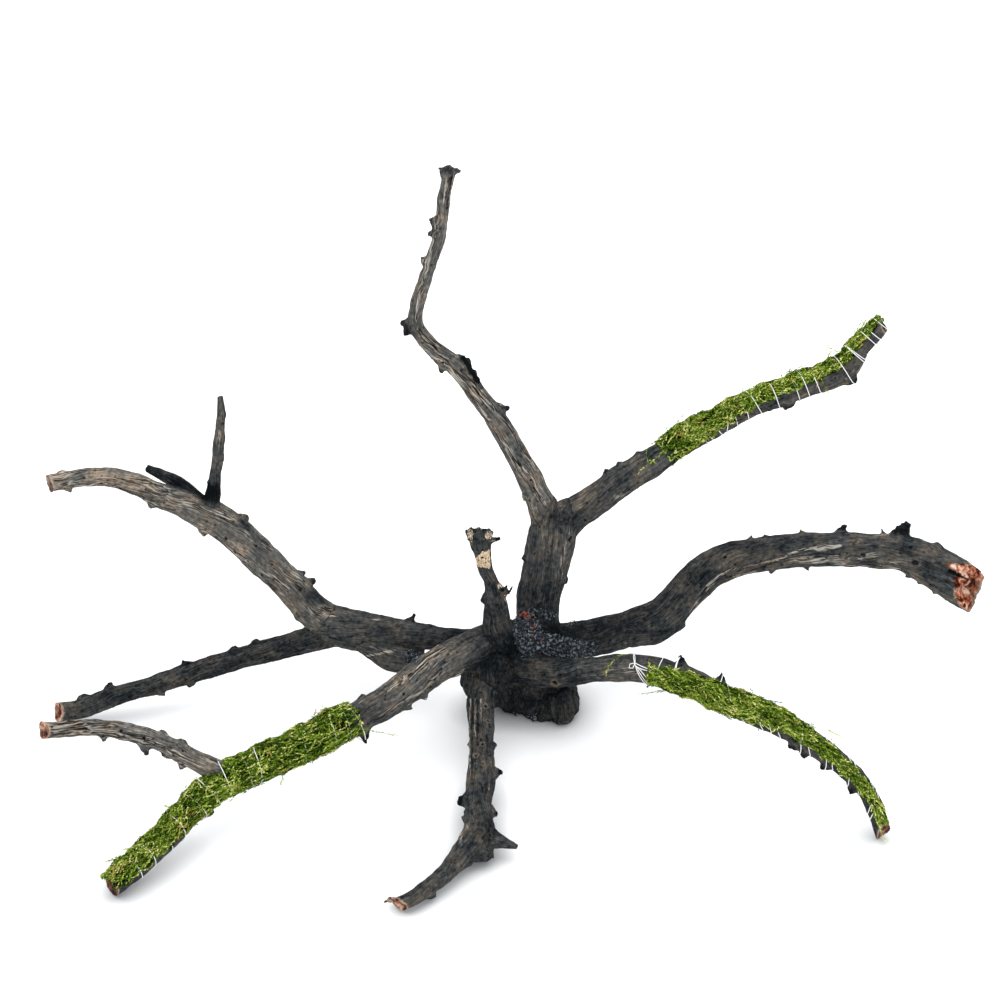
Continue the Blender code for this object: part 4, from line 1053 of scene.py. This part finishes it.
def felt_body(route, edges, thick):
    """The mat's closed felted body, sunk into the wood where it isn't moss and tinted near black as painted shade."""
    start, end = edges[0][0], min(edges[-1][0], route["run"][-1])
    along = np.linspace(start, end, int(end - start) + 1)
    angle = np.linspace(-math.pi, math.pi, 64, endpoint=False) + math.radians(30)
    s, phi = np.meshgrid(along, angle, indexing="ij")
    centre, radius, out, _ = around(route, s, phi)
    stand = moss_thickness(s, phi, edges, thick) - 0.3
    stand = np.where(stand < -0.25, -0.9, stand)
    flat = (centre + out * (radius + stand)[..., None]).reshape(-1, 3)
    flat += (noises(flat, 1.3) * 0.3)[:, None] * out.reshape(-1, 3)
    flat[:, 2] = flat[:, 2].clip(0.2)
    rings, sides = s.shape
    a = (np.arange(rings - 1)[:, None] * sides + np.arange(sides)).ravel()
    b = (np.arange(rings - 1)[:, None] * sides + np.roll(np.arange(sides), -1)).ravel()
    faces = np.concatenate([np.stack([a, b, b + sides], 1), np.stack([a, b + sides, a + sides], 1)])
    ends = np.stack([flat[:sides].mean(0), flat[-sides:].mean(0)])
    hub = rings * sides
    ring = np.arange(sides)
    following = np.roll(ring, -1)
    last = (rings - 1) * sides
    caps = np.concatenate([np.stack([np.full(sides, hub), following, ring], 1),
                           np.stack([np.full(sides, hub + 1), last + ring, last + following], 1)])
    # Painted shade: the body's tint stays near the black end of the moss colours.
    tint = np.concatenate([noises(flat, 0.8, 4.2) * 0.06 + 0.04, [0.04, 0.04]])
    return np.concatenate([flat, ends]), np.concatenate([faces, caps]), tint


def spot_on(route, x, y):
    """Which of the route's places shows nearest to a point of the picture."""
    flat = route["centre"] - EYE
    deep = -(flat @ VIEW_TOWARDS)
    right = PICTURE / 2 + LENS / SENSOR * PICTURE * (flat @ VIEW_RIGHT) / deep
    down = PICTURE / 2 - LENS / SENSOR * PICTURE * (flat @ VIEW_UP) / deep
    return np.hypot(right - x, down - y).argmin()


def laid_path(route, points, clearance):
    """A path through points of the picture, this far in front of the wood that shows there."""
    path = []
    for x, y in points:
        found = seen_wood(x, y)
        spot = spot_on(route, x, y)
        place = found[0] if found else route["centre"][spot] + VIEW_TOWARDS * route["radius"][spot] * 0.5
        ray = ray_through(x, y)
        path.append(EYE + ray * ((EYE - place) @ VIEW_TOWARDS - clearance) / -(ray @ VIEW_TOWARDS))
    return np.array(path)


# Loose fronds at the mats' edges, as points of the picture, with the mat they belong to
FRONDS = [
    ("upper_right", [(674, 445), (664, 451), (655, 459), (646, 466), (637, 474)], 0.78),
    ("upper_right", [(668, 443), (655, 442), (647, 449), (646, 458), (654, 462)], 0.66),
    ("upper_right", [(815, 357), (820, 367), (821, 378), (825, 388), (829, 394)], 0.62),
    ("upper_right", [(842, 352), (836, 351), (832, 349), (829, 347), (828, 345)], 0.74),
    ("lower_right", [(634, 653), (622, 655), (613, 661), (608, 668), (606, 675)], 0.70),
    ("lower_right", [(668, 689), (661, 691), (655, 692), (648, 693), (641, 694)], 0.55),
    ("lower_right", [(826, 729), (830, 731), (834, 733), (838, 735), (842, 737)], 0.80),
    ("lower_right", [(876, 822), (880, 828), (882, 834), (884, 838), (885, 841)], 0.88),
    ("left", [(358, 726), (370, 730), (378, 732), (387, 734), (395, 735)], 0.62),
    ("left", [(279, 768), (283, 772), (283, 776), (282, 780), (281, 783)], 0.70),
    ("left", [(180, 815), (174, 812), (171, 809), (168, 807), (166, 806)], 0.68),
    ("left", [(122, 860), (117, 863), (112, 866), (109, 868), (106, 871)], 0.66),
]

bodies = {}
for name, (branch, edges, thick, spread, mean_tint, seed) in MATS.items():
    body, body_faces, body_shade_tint = felt_body(routes[branch], edges, thick)
    bodies[name] = BVHTree.FromPolygons(body.tolist(), body_faces.tolist())
    stems, stem_faces, stem_tint = grown_stems(routes[branch], edges, thick, spread, mean_tint, seed)
    loose = [(laid_path(routes[branch], points, 1.2), tint) for mat, points, tint in FRONDS if mat == name]
    fronds, frond_faces, frond_tint = leafy(
        np.array([path for path, _ in loose]), np.broadcast_to(VIEW_TOWARDS, (len(loose), STEM_POINTS, 3)),
        np.array([tint for _, tint in loose]), np.zeros((len(loose), STEM_POINTS)),
        np.random.default_rng(seed), 1.3)
    mat = piece_of(f"mat_{name}", np.concatenate([body, stems, fronds]), np.concatenate(
        [body_faces, stem_faces + len(body), frond_faces + len(body) + len(stems)]), moss, smooth=False)
    give(mat.data, "tint", np.concatenate([body_shade_tint, stem_tint, frond_tint]).clip(0, 1))
    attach(mat, "root")
    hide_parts(f"moss_{name}")


# The tying threads. White cotton thread, wound round each branch and its moss from one end to the
# other and pulled in among the stems, so it shows over the wood and only here and there on the moss.
THREAD_RADIUS = 0.135
TIES = {
    # Each turn's upper and lower end on the front, as (x, y) of the picture, and how far it shows
    # over the moss, from 0 for sunk among the stems to 1 for lying on them
    "upper_right": [
        ((688, 425), (707, 443), 0.0), ((694, 420), (711, 438), 0.1), ((702, 412), (722, 434), 0.0),
        ((722, 400), (724, 430), 0.2), ((726, 396), (736, 424), 0.1), ((738, 392), (748, 416), 0.1),
        ((746, 390), (761, 415), 1.0), ((766, 377), (780, 408), 0.9), ((784, 370), (800, 400), 0.3),
        ((794, 368), (808, 396), 1.0), ((806, 362), (822, 394), 0.3), ((834, 355), (851, 381), 1.0),
        ((848, 347), (864, 362), 0.9), ((850, 344), (866, 360), 0.7), ((863, 332), (876, 347), 0.9),
        ((868, 328), (882, 339), 0.7), ((879, 320), (889, 331), 1.0),
    ],
    "lower_right": [
        ((635, 653), (647, 682), 0.5), ((664, 659), (660, 690), 0.2),
        ((680, 660), (676, 696), 0.2), ((682, 660), (680, 698), 0.0), ((724, 676), (716, 716), 0.1),
        ((728, 680), (742, 719), 0.1), ((745, 688), (749, 722), 0.2), ((760, 694), (765, 731), 0.1),
        ((770, 698), (773, 734), 0.1), ((778, 704), (782, 738), 0.0), ((800, 718), (804, 750), 0.2),
        ((806, 722), (812, 753), 0.1), ((826, 735), (826, 768), 0.2), ((832, 740), (833, 771), 0.1),
        ((848, 754), (846, 788), 0.2), ((852, 758), (856, 800), 0.3), ((866, 778), (868, 815), 0.4),
        ((874, 788), (871, 819), 0.3),
    ],
    "left": [
        ((345, 710), (357, 722), 0.9), ((338, 712), (342, 732), 0.3), ((324, 719), (330, 745), 0.3),
        ((300, 733), (304, 764), 0.2), ((254, 752), (258, 779), 0.7), ((240, 757), (246, 776), 0.5),
        ((219, 765), (224, 790), 0.6), ((202, 788), (218, 803), 0.5), ((186, 800), (204, 818), 0.6),
        ((170, 820), (187, 842), 0.6), ((154, 834), (170, 848), 0.4), ((137, 848), (152, 864), 0.7),
        ((128, 868), (142, 876), 0.5),
    ],
}
FRONT = math.radians(74)
TURN_STEPS = 30

thread, tree, shader = new_material("cotton_thread")
shader.inputs["Base Color"].default_value = (0.78, 0.79, 0.79, 1)
shader.inputs["Roughness"].default_value = 0.6


def wound(route, felted, turns):
    """The thread's path round the branch and its moss, taut over both."""
    keys = []
    for number, (upper, lower, shows) in enumerate(turns):
        keys += [(route["run"][spot_on(route, *upper)], FRONT - number * 2 * math.pi, shows),
                 (route["run"][spot_on(route, *lower)], -FRONT - number * 2 * math.pi, shows)]
    keys = np.array(keys)
    angle = np.arange(keys[0, 1] + 0.6, keys[-1, 1] - 0.6, -2 * math.pi / TURN_STEPS)
    along = np.interp(-angle, -keys[:, 1], keys[:, 0])
    along = np.convolve(np.pad(along, 2, "edge"), np.ones(5) / 5, "valid").clip(1, route["run"][-1] - 0.8)
    shows = np.interp(-angle, -keys[:, 1], keys[:, 2])
    centre, radius, out, _ = around(route, along, angle)
    reach = []
    for middle, way, over in zip(centre, out, shows):
        far, back = Vector(middle + way * 14), Vector(-way)
        on_wood = wood_tree.ray_cast(far, back, 14)[3]
        on_felt = felted.ray_cast(far, back, 14)[3]
        over_wood = 14 - (14 if on_wood is None else on_wood) + 0.08
        over_felt = 0 if on_felt is None else 14 - on_felt + 0.2 + 0.9 * over
        reach.append(max(over_wood, over_felt))
    reach = np.minimum(reach, radius + 4.0)
    wide = np.array([reach[max(0, i - 1):i + 2].max() for i in range(len(reach))])
    taut = np.convolve(np.pad(wide, 2, "edge"), np.ones(5) / 5, "valid")
    rows = centre + out * (taut + THREAD_RADIUS)[:, None]
    rows[:, 2] = rows[:, 2].clip(THREAD_RADIUS + 0.1)
    return np.column_stack([rows, np.full(len(rows), THREAD_RADIUS)])


# The knot at the lower mat's root: a bow's loop and its loose tails, as points of the picture
KNOT = [
    [(634, 652), (635, 657), (635, 663), (633, 668), (629, 668), (630, 664), (635, 663), (641, 666),
     (648, 669), (654, 670)],
    [(654, 670), (648, 671), (641, 669), (636, 666), (639, 672), (643, 678), (647, 683)],
    [(636, 666), (641, 671), (646, 677), (651, 681)],
]

for name, turns in TIES.items():
    strands = [rod(f"tie_{name}", wound(routes[MATS[name][0]], bodies[name], turns), 6)]
    if name == "lower_right":
        for points in KNOT:
            path = laid_path(routes["right_lower_branch"], points, 0.5)
            strands.append(rod("knot", np.column_stack([path, np.full(len(path), THREAD_RADIUS)]), 6))
    bpy.ops.object.select_all(action="DESELECT")
    for strand in strands:
        strand.select_set(True)
    bpy.context.view_layer.objects.active = strands[0]
    bpy.ops.object.convert(target="MESH")
    if len(strands) > 1:
        bpy.ops.object.join()
    tie = bpy.context.object
    tie.data.materials.clear()
    tie.data.materials.append(thread)
    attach(tie, "root")
    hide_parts(f"thread_{name}")


# The floor and the light. A plain white table under a large soft light from above, with the
# white room all round, so only faint shadows lie under the tips and the stump. Close to the
# wood the table's colour is darkened to grey as a painted contact shadow.
floor_material, tree, shader = new_material("white_table")
shader.inputs["Base Color"].default_value = (0.97, 0.97, 0.97, 1)
shader.inputs["Roughness"].default_value = 0.9
shader.inputs["Specular IOR Level"].default_value = 0.1
# Painted contact shadow: ambient occlusion mixes grey into the table's colour near the wood.
painted_contact_shadow = node(tree, "ShaderNodeAmbientOcclusion", {"Distance": 0.010}, samples=4)
tree.links.new(mixed(tree, painted_contact_shadow.outputs["AO"], (0.25, 0.26, 0.27, 1), (0.97, 0.97, 0.97, 1)),
               shader.inputs["Base Color"])
bpy.ops.mesh.primitive_plane_add(size=6, location=(0, 0, -0.0002))
floor = bpy.context.object
floor.name = "floor"
floor.data.materials.append(floor_material)

room = bpy.data.worlds.new("white_room")
room.use_nodes = True
room.node_tree.nodes["Background"].inputs["Color"].default_value = (0.96, 0.98, 1.0, 1)
room.node_tree.nodes["Background"].inputs["Strength"].default_value = 1.36
bpy.context.scene.world = room


def soft_light(name, place, size, power):
    lamp = bpy.data.lights.new(name, "AREA")
    lamp.shape = "DISK"
    lamp.size = size
    lamp.energy = power
    made = bpy.data.objects.new(name, lamp)
    made.location = place
    made.rotation_euler = (-Vector(place)).to_track_quat("-Z", "Y").to_euler()
    bpy.context.scene.collection.objects.link(made)


soft_light("top_light", (-0.1, -0.1, 1.2), 1.3, 5.0)
soft_light("front_light", (0.3, -1.2, 0.9), 1.0, 3.0)
bpy.context.scene.view_settings.view_transform = "Standard"
